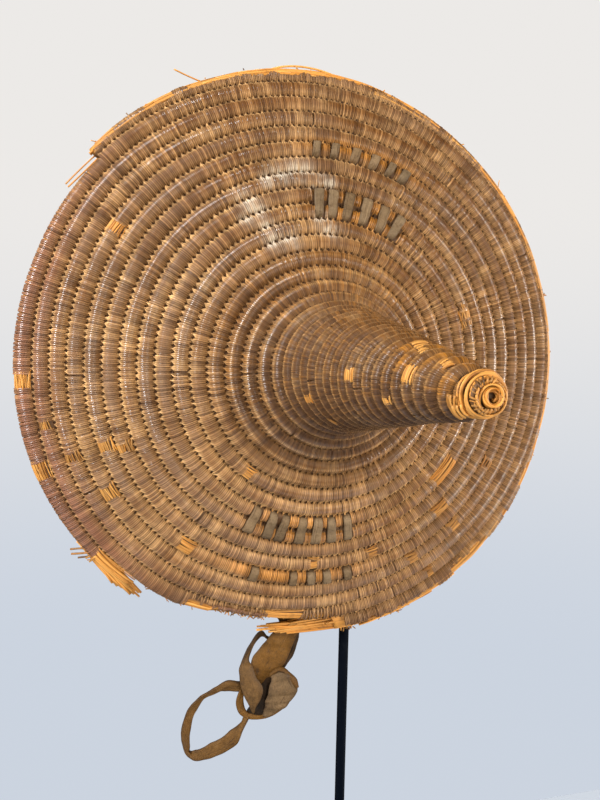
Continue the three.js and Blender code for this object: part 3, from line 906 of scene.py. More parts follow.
def stitch_paint(rng, count, shares):
    """Tone, nearness to a seam and darkening of each point, its polish, and coordinates that streaks follow;
    the darkening is darker wrap at the inner seam and painted shade on the strips' edges.
    """
    tone = np.clip(0.5 + 0.22 * rng.normal(size=count) + 0.06 * wander(rng, count, 7), 0, 1)
    shares = np.broadcast_to(shares, (count, np.shape(shares)[-1]))
    edge = 0.82 + 0.04 * wander(rng, count, 6)[:, None]
    seam = smoothstep(edge - 0.2, edge + 0.1, shares) + 0.6 * (1 - smoothstep(0.08, 0.36, shares))
    # Darker wrap at each coil's inner seam.
    darkening = 0.5 * (1 - smoothstep(0.0, 0.09, shares))
    # Painted shade along both edges of every strip.
    darkening = darkening[:, :, None] + STRIP_SHADE * np.abs(ACROSS) * rng.uniform(0.4, 1.4, (count, 1, 1))
    weave = side_by_side(tone[:, None, None], seam[:, :, None], np.clip(darkening, 0, 1))
    crest = np.clip(1 - np.abs(shares - 0.48) / 0.3, 0, 1)
    polish = np.clip(0.45 + 0.45 * wander(rng, count, 45) + 0.2 * rng.normal(size=count), 0, 1)
    grey = np.clip(0.5 + 0.35 * wander(rng, count, 30), 0, 1)
    crest = crest[:, :, None] + 0 * ACROSS
    wear = side_by_side(polish[:, None, None] * crest, grey[:, None, None], crest)
    strands = rng.uniform(0, 400, count)[:, None, None]
    fibre = side_by_side(strands + ACROSS * 2.2, shares[:, :, None] * 2.0, strands * 0.37)
    return {"weave": weave, "wear": wear, "fibre": fibre}


def place_stitches(running, shares, offsets, sideways):
    """Points of stitches: share of the coil's width, offset outwards and way along the coil for each."""
    inner = edge_slant(running)[:, None, None]
    outer = edge_slant(running + 360)[:, None, None]
    slant = inner + (outer - inner) * shares
    degrees = running[:, None, None] + np.degrees(sideways / np.maximum(seam_radius(slant), 4))
    return shield_point(slant, degrees, offsets)


def thong_gaps(running):
    """Whether a thong lies over the coil, and whether its outer or inner seam gapes beside one."""
    covered, outer_gap, inner_gap = np.zeros((3, len(running)), bool)
    rows = (
        (OUTER_THONGS, OUTER_THONG_SEAM, ()),
        (INNER_THONGS, INNER_THONG_SEAM, (outer_gap,)),
        (INNER_THONGS, INNER_THONG_SEAM - 1, (inner_gap,)),
    )
    for angles, seam, gaps in rows:
        for degrees in angles:
            away = np.abs(running - (degrees - 360 * seam)) * np.radians(seam_radius(edge_slant(running)))
            covered |= away < THONG_CLEARANCE
            for gap in gaps:
                gap |= away < THONG_REACH
    return covered, outer_gap[:, None], inner_gap[:, None]


# A stitch hole between two teeth: share of the coil's width, lift, width share
STITCH_HOLE = np.array((
    (0.86, -0.1, 0.3), (0.92, 0.0, 0.85), (0.98, 0.1, 1.0), (1.035, 0.1, 0.8), (1.085, 0.15, 0.3),
))
HOLE_DEPTH = np.array((0.0, 0.9, 0.0))
# Tone, paleness and darkening of a hole: dark painted shade.
HOLE_PAINTED_SHADE = (0.2, 0.0, 1.0)


def stitch_holes(piece, running, width, rng):
    """Adds small sheets of dark painted shade along the seam, standing for the holes where the stitches draw
    apart.
    """
    count = len(running)
    inner = edge_slant(running)
    pitch = coil_width(running)
    share, lift, broad = STITCH_HOLE.T
    half = width * stitch_narrowing(running) * 0.48 * np.clip(1 + 0.25 * rng.normal(size=count), 0.4, 1.5)
    middle = (0.3 * half * rng.normal(size=count))[:, None, None]
    sideways = middle + (half[:, None] * broad)[:, :, None] * ACROSS
    height = (face_crest(inner) * pitch)[:, None] * arch(share) - tip_inset(inner - pitch)[:, None] + lift
    offsets = height[:, :, None] - HOLE_DEPTH * (pitch / USUAL_PITCH)[:, None, None]
    points = place_stitches(running, share[None, :, None], offsets, sideways)
    piece.add_grids(points, weave=HOLE_PAINTED_SHADE)


def weather_front(paint, running, shares, rng):
    """Painted shade in the boss's grooves, a painted highlight along its crests and a golden tinge on it, and
    painted shade and less grey on the disc's lit side, which faces up and right.
    """
    count = len(running)
    weave, wear, stain = paint["weave"], paint["wear"], paint["stain"]
    boss = (1 - smoothstep(*BOSS_FADE, seam_radius(edge_slant(running))))[:, None, None]
    upward = np.cos(np.radians(running - LIT_SIDE))[:, None, None]
    # Painted shade on the boss's flank facing the tip, heavier on the side facing down and left.
    groove_shade = boss * 0.9 * np.exp(-(((shares - 0.22) / 0.19) ** 4))[:, :, None]
    groove_shade = groove_shade * rng.uniform(0.7, 1.1, (count, 1, 1)) * (0.85 - 0.3 * upward)
    # A painted highlight along the boss's crests, carried in the seam share.
    pale = boss * np.exp(-(((shares - 0.56) / 0.12) ** 4))[:, :, None]
    wear[..., 1] *= 1 - 1.3 * boss
    # The disc's side facing up and right is painted less grey: warm light laid into its colour.
    wear[..., 1] -= 0.65 * smoothstep(-0.1, 0.8, upward) * (1 - boss)
    wear[..., 0] += 0.3 * boss * wear[..., 2]
    tone = 0.5 + (weave[..., 0] - 0.5) * (1 - 0.3 * boss)
    # Painted shade on the disc's side facing up and right, lighter paint facing down and left; the boss's
    # wrap is darker all over.
    weave[..., 0] = np.clip(tone - 0.2 * boss - 0.17 * upward * (1 - boss), 0, 1)
    weave[..., 1] = np.maximum(weave[..., 1] * (1 - 0.5 * boss), 0.75 * pale)
    weave[..., 2] = np.maximum(weave[..., 2], groove_shade)
    # A golden tinge on the boss, painted lighter and more golden on its upper side.
    stain[..., 2] += boss * np.clip(0.12 + 0.08 * upward + 0.2 * rng.normal(size=(count, 1, 1)), 0, 0.5)


def front_stitches(piece, running, width, rng):
    """Adds the stitches of the front face, whose ends draw together into pale teeth over the next coil."""
    starts = running[TOOTH_STRIPS::TOOTH_STRIPS]
    ends = running[TOOTH_STRIPS - 1:-1:TOOTH_STRIPS][: len(starts)]
    between = (ends + starts)[starts - ends < 4] / 2
    stitch_holes(piece, between[~in_patch(between)], width, rng)
    group = np.arange(len(running)) % TOOTH_STRIPS - 1
    kept = ~in_patch(running) & ~thong_gaps(running)[0] & (rng.uniform(size=len(running)) > LOST_STRIPS)
    running, group = running[kept], group[kept][:, None]
    count = len(running)
    _, outer_gap, inner_gap = thong_gaps(running)
    inner = edge_slant(running)
    pitch = coil_width(running)
    scale = (pitch / USUAL_PITCH)[:, None, None]
    width = width * stitch_narrowing(running)[:, None]
    share, lift, broad, drift, lean = FRONT_STITCH.T
    shares = share + (0.025 * (group == 0) + 0.02 * rng.normal(size=(count, 1))) * (share > 0.9)
    shares = np.where(outer_gap, 0.8 * shares, shares)
    shares = np.where(inner_gap, 0.13 + 0.87 * shares, shares)
    half = width / 2 * np.clip(1.14 + 0.12 * rng.normal(size=(count, 1)), 0.85, 1.35)
    middle = width * (lean - drift * group + 0.07 * rng.normal(size=(count, 1)))
    sideways = middle[:, :, None] + (half * broad)[:, :, None] * ACROSS
    lift = lift + 0.13 * rng.normal(size=(count, 1))
    height = (face_crest(inner) * pitch)[:, None] * arch(shares) - tip_inset(inner - pitch / 2)[:, None]
    offsets = height[:, :, None] + (lift[:, :, None] - EDGE_DROP) * scale
    points = place_stitches(running, shares[:, :, None], offsets, sideways)
    paint = stitch_paint(rng, count, shares)
    paint["stain"] = surface_stain(points)
    weather_front(paint, running, shares, rng)
    piece.add_grids(points, **paint)


def back_stitches(piece, running, width, rng):
    """Adds the plainer stitches of the back."""
    count = len(running)
    pitch = coil_width(running)
    scale = (pitch / USUAL_PITCH)[:, None, None]
    share, lift, broad, _, lean = BACK_STITCH.T
    width = width * stitch_narrowing(running)[:, None]
    half = width / 2 * np.clip(1.04 + 0.1 * rng.normal(size=(count, 1)), 0.8, 1.25)
    sideways = (width * lean)[:, :, None] + (half * broad)[:, :, None] * ACROSS
    lift = lift + 0.13 * rng.normal(size=(count, 1))
    depth = pitch[:, None] * (WALL_SHARE + CREST_SHARE * arch(share))
    offsets = -depth[:, :, None] - (lift[:, :, None] - BACK_EDGE_DROP) * scale
    points = place_stitches(running, share[None, :, None], offsets, sideways)
    piece.add_grids(points, flip=True, **stitch_paint(rng, count, share))


def rim_stitches(piece, running, width, rng):
    """Adds stitches that go round the free outer edge, whole or worn through there."""
    outer = running + 360
    bare = np.zeros(len(running), bool)
    for first, last in BARE_RIM:
        bare |= (outer > first - 360) & (outer < last - 360)
    torn = table_at(FRAYED_COVER, outer + 720) < 1
    missing = is_lost(outer + 360) & torn & (rng.uniform(size=len(running)) < 0.3)
    running = running[~in_patch(running) & ~bare & ~missing]
    count = len(running)
    outer = running + 360
    pitch = coil_width(running)[:, None, None]
    cover = table_at(RIM_COVER, outer, left=1.2)
    cover = cover + 0.05 * wander(rng, count, 4) + 0.03 * rng.normal(size=count)
    frayed = is_lost(outer + 360)
    torn = table_at(FRAYED_COVER, outer + 720)
    tear = 0.1 * wander(rng, count, 2) + 0.08 * rng.normal(size=count)
    cover = np.where(frayed, torn + (torn < 1) * tear, cover)
    half = width / 2 * np.clip(1.02 + 0.1 * rng.normal(size=(count, 1)), 0.8, 1.25)
    ragged = np.where(frayed & (torn < 1), 0.7, 0.12)[:, None] * rng.normal(size=(count, 1))
    lift = 0.3 + 0.13 * rng.normal(size=(count, 1, 1))
    whole = cover > 0.97
    share, rise = RIM_STITCH.T
    front = share.argmax()
    parts = (
        (whole, np.arange(len(share))),
        (~whole, np.arange(front)),
        (~whole, np.arange(front + 1, len(share))[::-1]),
    )
    for chosen, stations in parts:
        if not chosen.any():
            continue
        cut = len(stations) < len(share)
        back = cut and stations[0] > front
        sign = -1 if back else 1
        shares = np.broadcast_to(share[stations], (chosen.sum(), len(stations)))
        rises = np.broadcast_to(rise[stations], shares.shape)
        if cut:
            shares = np.minimum(shares * (np.minimum(cover[chosen], 0.95)[:, None] / 0.9), 1.0)
            order = stations[np.argsort(share[stations])]
            rises = np.interp(shares, share[order], rise[order])
        out = rises[:, :, None] * pitch[chosen]
        out = out + sign * (lift[chosen] - EDGE_DROP) * (pitch[chosen] / USUAL_PITCH)
        if cut:
            out[:, -1] -= sign * 0.9
        sideways = ragged[chosen][:, :, None] * shares[:, :, None] * width * 2
        sideways = sideways + half[chosen][:, :, None] * ACROSS
        points = place_stitches(running[chosen], shares[:, :, None], out, sideways)
        paint = stitch_paint(rng, len(points), np.minimum(shares, 0.74))
        piece.add_grids(points, flip=back, stain=surface_stain(points), **paint)


def torn_strips(piece, width, rng):
    """Adds torn ends of wrap that hang from the frayed coil below."""
    count = TORN_STRIPS
    running = rng.uniform(TORN_WRAP[0] - 0.5, TORN_WRAP[1] - 1, count) - 1080
    share = np.linspace(0, 1, 6)
    shares = 0.3 + (0.62 + 0.1 * rng.normal(size=(count, 1))) * share
    rise = 0.25 * arch(shares * 0.95) + 0.05 + 0.05 * rng.normal(size=(count, 1)) - 0.2 * share**4
    pitch = coil_width(running)
    lean = rng.normal(-1.5, 2.5, (count, 1)) * share**2
    half = width * rng.uniform(0.35, 0.7, (count, 1)) * (1 - 0.5 * share)
    sideways = lean[:, :, None] + half[:, :, None] * ACROSS
    offsets = (rise * pitch[:, None])[:, :, None] - 0.4 * EDGE_DROP
    points = place_stitches(running, shares[:, :, None], offsets, sideways)
    paint = stitch_paint(rng, count, 0.3 + 0.4 * share)
    stain = np.zeros(points.shape)
    stain[..., 1] = rng.uniform(0, 0.8, (count, 1, 1))
    piece.add_grids(points, stain=stain, **paint)


# Core of the coil

CORE_STEP = 3
CORE_BREAKS = (-131.5, -83.5, -82.5)
CORE_FRONT = np.array((0.08, 0.27, 0.5, 0.73, 0.92))
CORE_BACK = np.array((0.15, 0.5, 0.85))
CORE_SUNK = 1.2
CORE_TURNS = 60
CORE_STRIPS = 24
GROOVE_SHARE = 0.2
BACK_GROOVE_SHARE = 0.27
RIM_LAP = 0.02
TIP_FLANK = (307, 314.5, 7.5)
QUAD_CORNERS = ((0, 0), (0, 1), (1, 1), (1, 0))
# Darkness of the core: painted shade under stitches, dirt at the free edge, in bare and torn stretches, on
# the tip and the rim
CORE_SHADE_UNDER_WRAP = 0.88
EDGE_DIRT = 0.15
BARE_DIRT = 0.1
TORN_DIRT = 0.8
TIP_DIRT = 0.3
RIM_DIRT = 0.2


def core_skin(running, per_turn, first, shares, seam_offset, row_offset):
    """Points and quads of one skin of the core, from its first column to the rim."""
    chosen = running[first:]
    count = len(chosen)
    body = count - per_turn
    rows = len(shares)
    slant = broken_edge_slant(chosen)
    pitch = coil_pitch(slant)
    seams = shield_point(slant, chosen, seam_offset(pitch, np.arange(count) >= body, slant))
    inner = slant[:body, None]
    outer = slant[per_turn:, None]
    fullness = np.minimum((inner - outer) / pitch[:body, None], 1)
    offsets = row_offset(pitch[:body, None], fullness, shares, inner)
    ridge = shield_point(inner + (outer - inner) * shares, chosen[:body, None], offsets)
    column, row = np.meshgrid(np.arange(body - 1), np.arange(rows + 1), indexing="ij")

    def corner(columns, lines):
        inside = count + columns * rows + lines - 1
        return np.where(lines == 0, columns, np.where(lines > rows, columns + per_turn, inside))

    long = math.ceil(body / CORE_STRIPS)
    quads = []
    places = []
    for right, down in QUAD_CORNERS:
        quads.append(corner(column + right, row + down))
        u = (column % long + right) / long
        v = (column // long + 0.03 + 0.94 * (row + down) / (rows + 1)) / CORE_STRIPS
        places.append(np.stack((u, v), -1))
    return {
        "points": np.concatenate((seams, ridge.reshape(-1, 3))),
        "quads": np.stack(quads, -1).reshape(-1, 4),
        "places": np.stack(places, -2).reshape(-1, 4, 2),
        "start": corner(np.zeros(rows + 2, int), np.arange(rows + 2)),
        "end": corner(np.full(rows + 2, body - 1), np.arange(rows + 2)),
        "rim": np.arange(body - 1, count),
    }


def fan(middle, ring):
    """Triangles from a middle point to each step of a ring, and their places on the map."""
    faces = np.stack((np.full(len(ring) - 1, middle), ring[:-1], ring[1:]), -1)
    turn = np.linspace(0, 2 * np.pi, len(ring))
    rim = 0.5 + 0.45 * np.stack((np.cos(turn), np.sin(turn)), -1)
    return faces, np.stack((np.full((len(ring) - 1, 2), 0.5), rim[:-1], rim[1:]), 1)


def front_groove(pitch, rim, slant):
    """Offset of the front's seams."""
    return -pitch * np.where(rim, RIM_EDGE_SHARES[0] + RIM_LAP, GROOVE_SHARE) - tip_inset(slant)


def front_ridge(pitch, fullness, shares, slant):
    """Offset of the front's coils, under their stitches."""
    height = face_crest(slant) * arch(shares) - CORE_SUNK / USUAL_PITCH
    return pitch * fullness * height - tip_inset(slant - pitch / 2)


def back_groove(pitch, rim, slant):
    """Offset of the back's seams."""
    return -pitch * np.where(rim, RIM_EDGE_SHARES[1] - RIM_LAP, BACK_GROOVE_SHARE)


def back_ridge(pitch, fullness, shares, slant):
    """Offset of the back's coils, under their stitches."""
    height = WALL_SHARE + CREST_SHARE * arch(shares) - CORE_SUNK / USUAL_PITCH
    return -pitch * np.maximum(fullness, 0.8) * height


def core_weave(points, running, shift, rims):
    """Tone and darkness of the core's points: painted shade under the stitches, golden where it lies bare."""
    weave = np.zeros((len(points), 3))
    weave[:, 0] = 0.3
    # Painted shade over the whole core, kept where the stitches cover it.
    weave[:, 2] = CORE_SHADE_UNDER_WRAP
    ridge = weave[len(running): shift].reshape(-1, len(CORE_FRONT), 3)
    running = running[: len(ridge)]
    ridge[is_rim(running), 2:, 2] = EDGE_DIRT
    for first, last in BARE_RIM:
        ridge[(running > first - 720) & (running < last - 720), :, 2] = BARE_DIRT
    ridge[(running > TORN_WRAP[0] - 1080) & (running < TORN_WRAP[1] - 1080), :, 2] = TORN_DIRT
    low, high, inside = TIP_FLANK
    flank = (points[:, 2] > low) & (points[:, 2] < high) & (np.hypot(points[:, 0], points[:, 1]) > inside)
    weave[flank, 2] = TIP_DIRT
    weave[rims, 2] = RIM_DIRT
    return weave


def make_core(material):
    """The closed body of the grass coil, under its stitches."""
    columns = np.arange(COIL_END - 360 + CORE_STEP, COIL_END + 1, CORE_STEP)
    columns = np.sort(np.concatenate((columns, CORE_BREAKS)))
    running = np.concatenate([columns - 360 * turn for turn in range(CORE_TURNS, -1, -1)])
    running = running[seam_slant(running) < SECTION_LENGTH - 1]
    per_turn = len(columns)
    front = core_skin(running, per_turn, 0, CORE_FRONT, front_groove, front_ridge)
    hollow = int(np.argmax(seam_radius(seam_slant(running)) > CAVITY_END_RADIUS))
    back = core_skin(running, per_turn, hollow, CORE_BACK, back_groove, back_ridge)
    shift = len(front["points"])
    middles = np.array(((0, -BOSS_DROOP, TIP_HOLE_DEPTH), (0, -BOSS_DROOP / 2, CAVITY_FLOOR)))
    points = np.concatenate((front["points"], back["points"], middles))
    tip, floor = len(points) - 2, len(points) - 1
    faces = [front["quads"], back["quads"] + shift]
    places = [front["places"], back["places"]]
    for middle, skin, first in ((tip, front, 0), (floor, back, shift)):
        ring = np.concatenate((np.arange(per_turn + 1), skin["start"][-2::-1])) + first
        triangles, spots = fan(middle, ring)
        faces.append(triangles)
        places.append(spots)
    near, far = front["rim"], back["rim"] + shift
    faces.append(np.stack((near[:-1], near[1:], far[1:], far[:-1]), -1))
    share = np.linspace(0, 1, len(near))
    edges = ((share[:-1], 0), (share[1:], 0), (share[1:], 1), (share[:-1], 1))
    places.append(np.stack([side_by_side(u, v) for u, v in edges], 1))
    cut = np.concatenate((front["end"], back["end"][::-1] + shift, front["end"][:1]))
    points = np.concatenate((points, points[cut].mean(axis=0)[None]))
    triangles, spots = fan(len(points) - 1, cut)
    faces.append(triangles)
    places.append(spots)
    degrees = np.degrees(np.arctan2(points[:, 1], points[:, 0]))
    radius = np.hypot(points[:, 0], points[:, 1])
    fibre = np.stack((radius * 1.1, degrees * 0.05, points[:, 2] * 1.1), -1)
    weave = core_weave(points, running, shift, np.concatenate((near, far)))
    piece = PieceMesh()
    piece.add(points, faces, places, weave=weave, fibre=fibre)
    made = piece.make("coil_core", material, ("coiled_shield",))
    work = bmesh.new()
    work.from_mesh(made.data)
    bmesh.ops.recalc_face_normals(work, faces=work.faces)
    work.to_mesh(made.data)
    work.free()


# Bare straws

STRAW_SIDES = 6

# Straws round the free edge: share of the coil's width, offset as a share of the pitch
EDGE_STRAWS = (
    (0.28, 0.11), (0.38, 0.17), (0.5, 0.19), (0.62, 0.17), (0.74, 0.12), (0.84, 0.04), (0.91, -0.06),
    (0.94, -0.18), (0.93, -0.29), (0.87, -0.4), (0.76, -0.47),
)
EDGE_STRAWS_FROM = -88

# Loose strands that have sprung from the rim: both ends of each, and one lifted along the top
SPRUNG_STRANDS = (
    ((-97, 243, -3), (-120.5, 248.5, 2)), ((-183, 176, -4), (-208.6, 147.6, -1)),
    ((-181, 173, -2), (-206.3, 144.6, 2)),
)
LIFTED_STRAND = ((-47, 254, -1), (-33, 261, 0), (-15, 264.2, 1), (8, 263.2, 1), (36, 256.5, 0))

# Torn ends of wrap along the rim: from and to angle, count, degrees back along the coil
TUFTS = ((248, 261, 90, 1080), (231, 280, 40, 1080), (-80, 136, 90, 360))
TUFT_SIDES = 4

# The coil's start at the boss's tip: turn, radius and distance out of the rim plane
TIP_COIL = (
    (0, 2.5, 316.8), (90, 3.0, 318.2), (270, 3.7, 319.1), (420, 4.8, 319.3), (600, 6.3, 319.0),
    (780, 7.6, 318.0), (960, 8.5, 316.4), (1140, 8.9, 314.2), (1320, 9.3, 312.0), (1500, 9.8, 309.8),
)
TIP_THICKNESS = ((0, 0.6), (200, 0.85), (500, 0.95), (1260, 1.35))
TIP_STRAW_SHARE = ((0, 0.42), (200, 0.5), (500, 0.52), (1260, 0.62))
TIP_ASIDE = 2.2
TIP_STRAWS = 6
TIP_TIES = 24
TIE_SIDES = 5


def straw_paint(rng, count, steps, sides, darkening):
    """Tone and dirt of straws, and coordinates that their streaks follow."""
    tone = rng.uniform(0, 1, count)
    strand = rng.uniform(0, 300, count)[:, None, None]
    weave = np.zeros((count, steps, sides, 3))
    weave[..., 0] = tone[:, None, None]
    weave[..., 2] = np.clip(darkening + 0.15 * rng.normal(size=(count, 1, 1)), 0, 1)
    turn = np.cos(2 * np.pi * np.arange(sides) / sides) * 0.9
    fibre = side_by_side(strand + turn, np.linspace(0, 1.5, steps)[:, None], strand * 0.7)
    return {"weave": weave, "fibre": fibre}


def add_straws(piece, paths, radius, rng, darkening=0.0):
    """Adds straws along paths, each a little thicker or thinner."""
    paths = np.asarray(paths, float)
    radii = radius * rng.uniform(0.8, 1.15, (len(paths), 1)) * np.ones(paths.shape[1])
    paint = straw_paint(rng, len(paths), paths.shape[1] + 2, STRAW_SIDES, darkening)
    piece.add_tubes(paths, radii, STRAW_SIDES, **paint)


def coil_path(running, shares, offsets):
    """Points on the coil at running angles: share of its width and offset as a share of the pitch."""
    pitch = coil_width(running)
    return shield_point(edge_slant(running) - pitch * shares, running, pitch * offsets)


def patch_straws(piece, radius, rng):
    """Straws in the bare patches of the face."""
    for degrees, seam, extent, low, high, darkening in BARE_PATCHES:
        centre = degrees - 360 * seam
        low, high = max(low, 0.06), min(high, 0.94)
        coil = float(coil_width(centre))
        slant = edge_slant(centre)
        crest = float(face_crest(slant))
        count = max(4, round((high - low) * coil / (radius * 0.98)))
        reach = math.degrees((extent / 2 + 0.16 * coil) / float(seam_radius(slant)))
        steps = np.linspace(-1, 1, 8)
        paths = []
        for share in np.linspace(low, high, count):
            drift = share + 0.025 * rng.normal() + 0.03 * rng.normal() * steps
            rise = crest * arch(np.clip(drift, 0.03, 0.97)) - 0.03 + 0.014 * rng.normal()
            rise = rise - 0.05 * np.abs(steps) ** 4
            paths.append(coil_path(centre + reach * steps, drift, rise))
        add_straws(piece, paths, radius * 0.62, rng, darkening=darkening)


def edge_straws(piece, radius, rng):
    """Straws along the worn outer edge, broken here and there."""
    for share, rise in EDGE_STRAWS:
        place = EDGE_STRAWS_FROM + rng.uniform(0, 12)
        paths = []
        while place < COIL_END - 4:
            reach = min(rng.uniform(12, 26), COIL_END + rng.uniform(-2, 1.5) - place)
            outer = np.linspace(place, place + reach, 12)
            drift = share + 0.02 * rng.normal() + 0.02 * wander(rng, 12, 3)
            lift = rise + 0.02 * rng.normal() + 0.012 * wander(rng, 12, 3)
            paths.append(coil_path(outer - 360, drift, lift))
            place += reach - rng.uniform(0, 2.5)
        add_straws(piece, paths, radius, rng, darkening=0.08)


def straight_straws(piece, ends, radius, rng, bow, darkening=0.0):
    """Straws between pairs of points, slightly bowed."""
    share = np.linspace(0, 1, 8)[:, None]
    paths = []
    for start, end in ends:
        start, end = np.asarray(start, float), np.asarray(end, float)
        bend = rng.normal(size=3) * bow
        paths.append(start + (end - start) * share + bend * np.sin(np.pi * share))
    add_straws(piece, paths, radius, rng, darkening=darkening)


def polar(degrees, radius, out):
    """Shield coordinates of a point given by angle, radius and distance out of the rim plane."""
    angle = math.radians(degrees)
    return (radius * math.cos(angle), radius * math.sin(angle), out)


def splayed(count, root, tip, depth, rng):
    """Straws from a root to ragged tips, each given as angle, radius and height at the bundle's two sides."""
    ends = []
    for spread in np.linspace(0, 1, count):
        spread = np.clip(spread + 0.08 * rng.normal(), 0, 1)
        down = depth * rng.uniform(0, 1)
        places = []
        for inner, outer, ragged in ((*root, 0.8), (*tip, 1.3)):
            degrees, radius, out = np.array(inner) + (np.array(outer) - inner) * spread
            places.append(polar(degrees + ragged * rng.normal(), radius + 0.6 * rng.normal(), out - down))
        ends.append(places)
    return ends


def broken_ends(piece, radius, rng):
    """Splayed straw ends and torn wrap at the breaks of the rim."""
    left = splayed(34, ((219, 248, 5.5), (219, 256.5, 0)), ((233, 253, 3.5), (230, 263.5, -2)), 8, rng)
    straight_straws(piece, left, radius, rng, 0.8)
    below = splayed(18, ((282, 243, 7), (282, 260, -1)), ((266.5, 246, 4), (262, 252.5, 1)), 7, rng)
    below += splayed(16, ((282, 248, 5), (282, 261, -1)), ((261.5, 253, 0), (266, 259.5, -3)), 6, rng)
    straight_straws(piece, below, radius, rng, 0.9)
    inner = splayed(14, ((241, 237, 11), (241, 246, 6)), ((246.5, 235, 11), (248, 241, 7)), 4, rng)
    straight_straws(piece, inner, radius * 0.9, rng, 0.6)
    torn = [
        (polar(221.5, 246, 8), polar(218.8, 266, 2)), (polar(222, 249, 7), polar(220.2, 264.5, 1)),
        (polar(220.5, 250, 6), polar(218, 264, 2)),
    ]
    straight_straws(piece, torn, radius * 0.8, rng, 0.8, 0.8)
    bound = [(polar(221.9 + turn, 246.5, 8.5), polar(221.2 + turn, 259.5, 3)) for turn in (0, 0.5, 1.0)]
    for turn in range(8):
        start = polar(279.2 + 0.5 * turn, 243 + rng.uniform(0, 4), 9)
        bound.append((start, polar(279 + 0.45 * turn, 260 + rng.uniform(0, 5), -2)))
    straight_straws(piece, bound, radius * 0.75, rng, 0.9, 0.42)


def loose_strands(piece, radius, rng):
    """Single strands that have sprung from the rim."""
    straight_straws(piece, SPRUNG_STRANDS, radius * 0.62, rng, 0.6)
    add_straws(piece, [smooth_line(LIFTED_STRAND, 5)], radius * 0.8, rng)


def frayed_tufts(piece, rng):
    """Short torn ends of wrap along the rim."""
    paths = []
    places = []
    for first, last, count, back in TUFTS:
        places += [(rng.uniform(first, last), back) for _ in range(count)]
    for degrees, back in places:
        share = rng.uniform(0.75, 0.98)
        foot = coil_path(np.array([degrees - back]), share, rng.uniform(-0.2, 0.1))[0]
        outward = np.array((math.cos(math.radians(degrees)), math.sin(math.radians(degrees)), 0))
        along = np.array((-outward[1], outward[0], 0))
        extent = rng.uniform(2, 6)
        way = outward * extent * rng.uniform(0.2, 1) + along * extent * rng.normal() * 0.6
        way[2] += rng.normal() * 1.5
        bend = along * rng.normal() * 1.2
        share = np.linspace(0, 1, 5)[:, None]
        paths.append(foot + way * share + bend * share**2)
    count, steps = np.shape(paths)[:2]
    radii = rng.uniform(0.28, 0.6, (count, 1)) * np.ones(steps)
    darkening = rng.uniform(0, 0.8, (count, 1, 1))
    piece.add_tubes(paths, radii, TUFT_SIDES, **straw_paint(rng, count, steps + 2, TUFT_SIDES, darkening))


def tip_rosette(piece, radius, rng):
    """The bare golden rings of the coil at the boss's tip, with the last stitches between them."""
    turn, rest, out = smooth_line(TIP_COIL, 14).T
    angle = np.radians(turn - 60)
    side = side_by_side(np.cos(angle), np.sin(angle), 0)
    aside = TIP_ASIDE * (1 - (rest - rest[0]) / (rest[-1] - rest[0]))
    line = side * rest[:, None] + np.stack((aside, -boss_sag(out) - 0.2 * aside, out), -1)
    along = np.concatenate(([0], np.cumsum(np.linalg.norm(np.diff(line, axis=0), axis=1))))
    paths = []
    for number in range(TIP_STRAWS):
        twist = 2 * np.pi * number / TIP_STRAWS + along / 11 + 0.5 * wander(rng, len(along), 12)
        spread = table_at(TIP_THICKNESS, turn) * (1 + 0.26 * wander(rng, len(along), 5))
        way = side * np.cos(twist)[:, None] + side_by_side(0, 0, np.sin(twist))
        paths.append(line + way * spread[:, None])
    radii = radius * table_at(TIP_STRAW_SHARE, turn) * np.ones((TIP_STRAWS, 1))
    darkening = rng.uniform(0, 0.5, (TIP_STRAWS, 1, 1))
    paint = straw_paint(rng, TIP_STRAWS, len(line) + 2, STRAW_SIDES, darkening)
    piece.add_tubes(paths, radii, STRAW_SIDES, **paint)
    ties = []
    for degrees in np.arange(0, 360, 360 // TIP_TIES) + rng.uniform(-4, 4, TIP_TIES):
        tie = (
            polar(degrees, 5.4, 320.0 + rng.normal() * 0.1), polar(degrees - 7, 6.9, 319.9),
            polar(degrees - 14, 8.3, 318.3 + rng.normal() * 0.1),
        )
        ties.append(np.array(tie) - (0, BOSS_DROOP, 0))
    radii = rng.uniform(0.3, 0.55, (TIP_TIES, 1)) * np.ones(3)
    piece.add_tubes(ties, radii, TIE_SIDES, **straw_paint(rng, TIP_TIES, 5, TIE_SIDES, 0.55))


# Hide

# Round a strip of hide, over its face and back under: share of its half width, rise, painted shade darkening
# its edges
STRIP_FACE = np.array((-1, -0.94, -0.7, -0.36, 0, 0.36, 0.7, 0.94, 1))
STRIP_FACE_RISES = np.array((0.3, 0.85, 1, 1, 1, 1, 1, 0.85, 0.3))
STRIP_SHARES = np.concatenate((STRIP_FACE, STRIP_FACE[::-1]))
STRIP_RISES = np.concatenate((STRIP_FACE_RISES, -STRIP_FACE_RISES))
STRIP_EDGE_SHADE = np.tile((1, 0.6, 0.15, 0, 0, 0, 0.15, 0.6, 1), 2)
THONG_STEPS = 10
THONG_THICKNESS = 1.6
THONG_BOW = 0.07
THONG_LEAN = 2.6
NO_PAINTED_SHADE = ((0, 0.0),)


def ribbon_grid(left, right, thickness, bow, crumple=0.0):
    """A closed strip with round edges along two edge lines, shaped (1, along, 18, 3)."""
    middle = (left + right) / 2
    way = np.gradient(middle, axis=0)
    half = (right - left) / 2
    face = np.cross(way, half)
    face /= np.linalg.norm(face, axis=1, keepdims=True)
    width = np.linalg.norm(half, axis=1, keepdims=True)
    lift = STRIP_RISES * thickness / 2 + width * bow * (1 - STRIP_SHARES**2) + crumple
    grid = middle[:, None] + half[:, None] * STRIP_SHARES[:, None] + face[:, None] * lift[:, :, None]
    ends = [grid[row].mean(axis=0) + (grid[row] - grid[row].mean(axis=0)) * 0.03 for row in (0, -1)]
    return np.concatenate((ends[0][None], grid, ends[1][None]))[None]


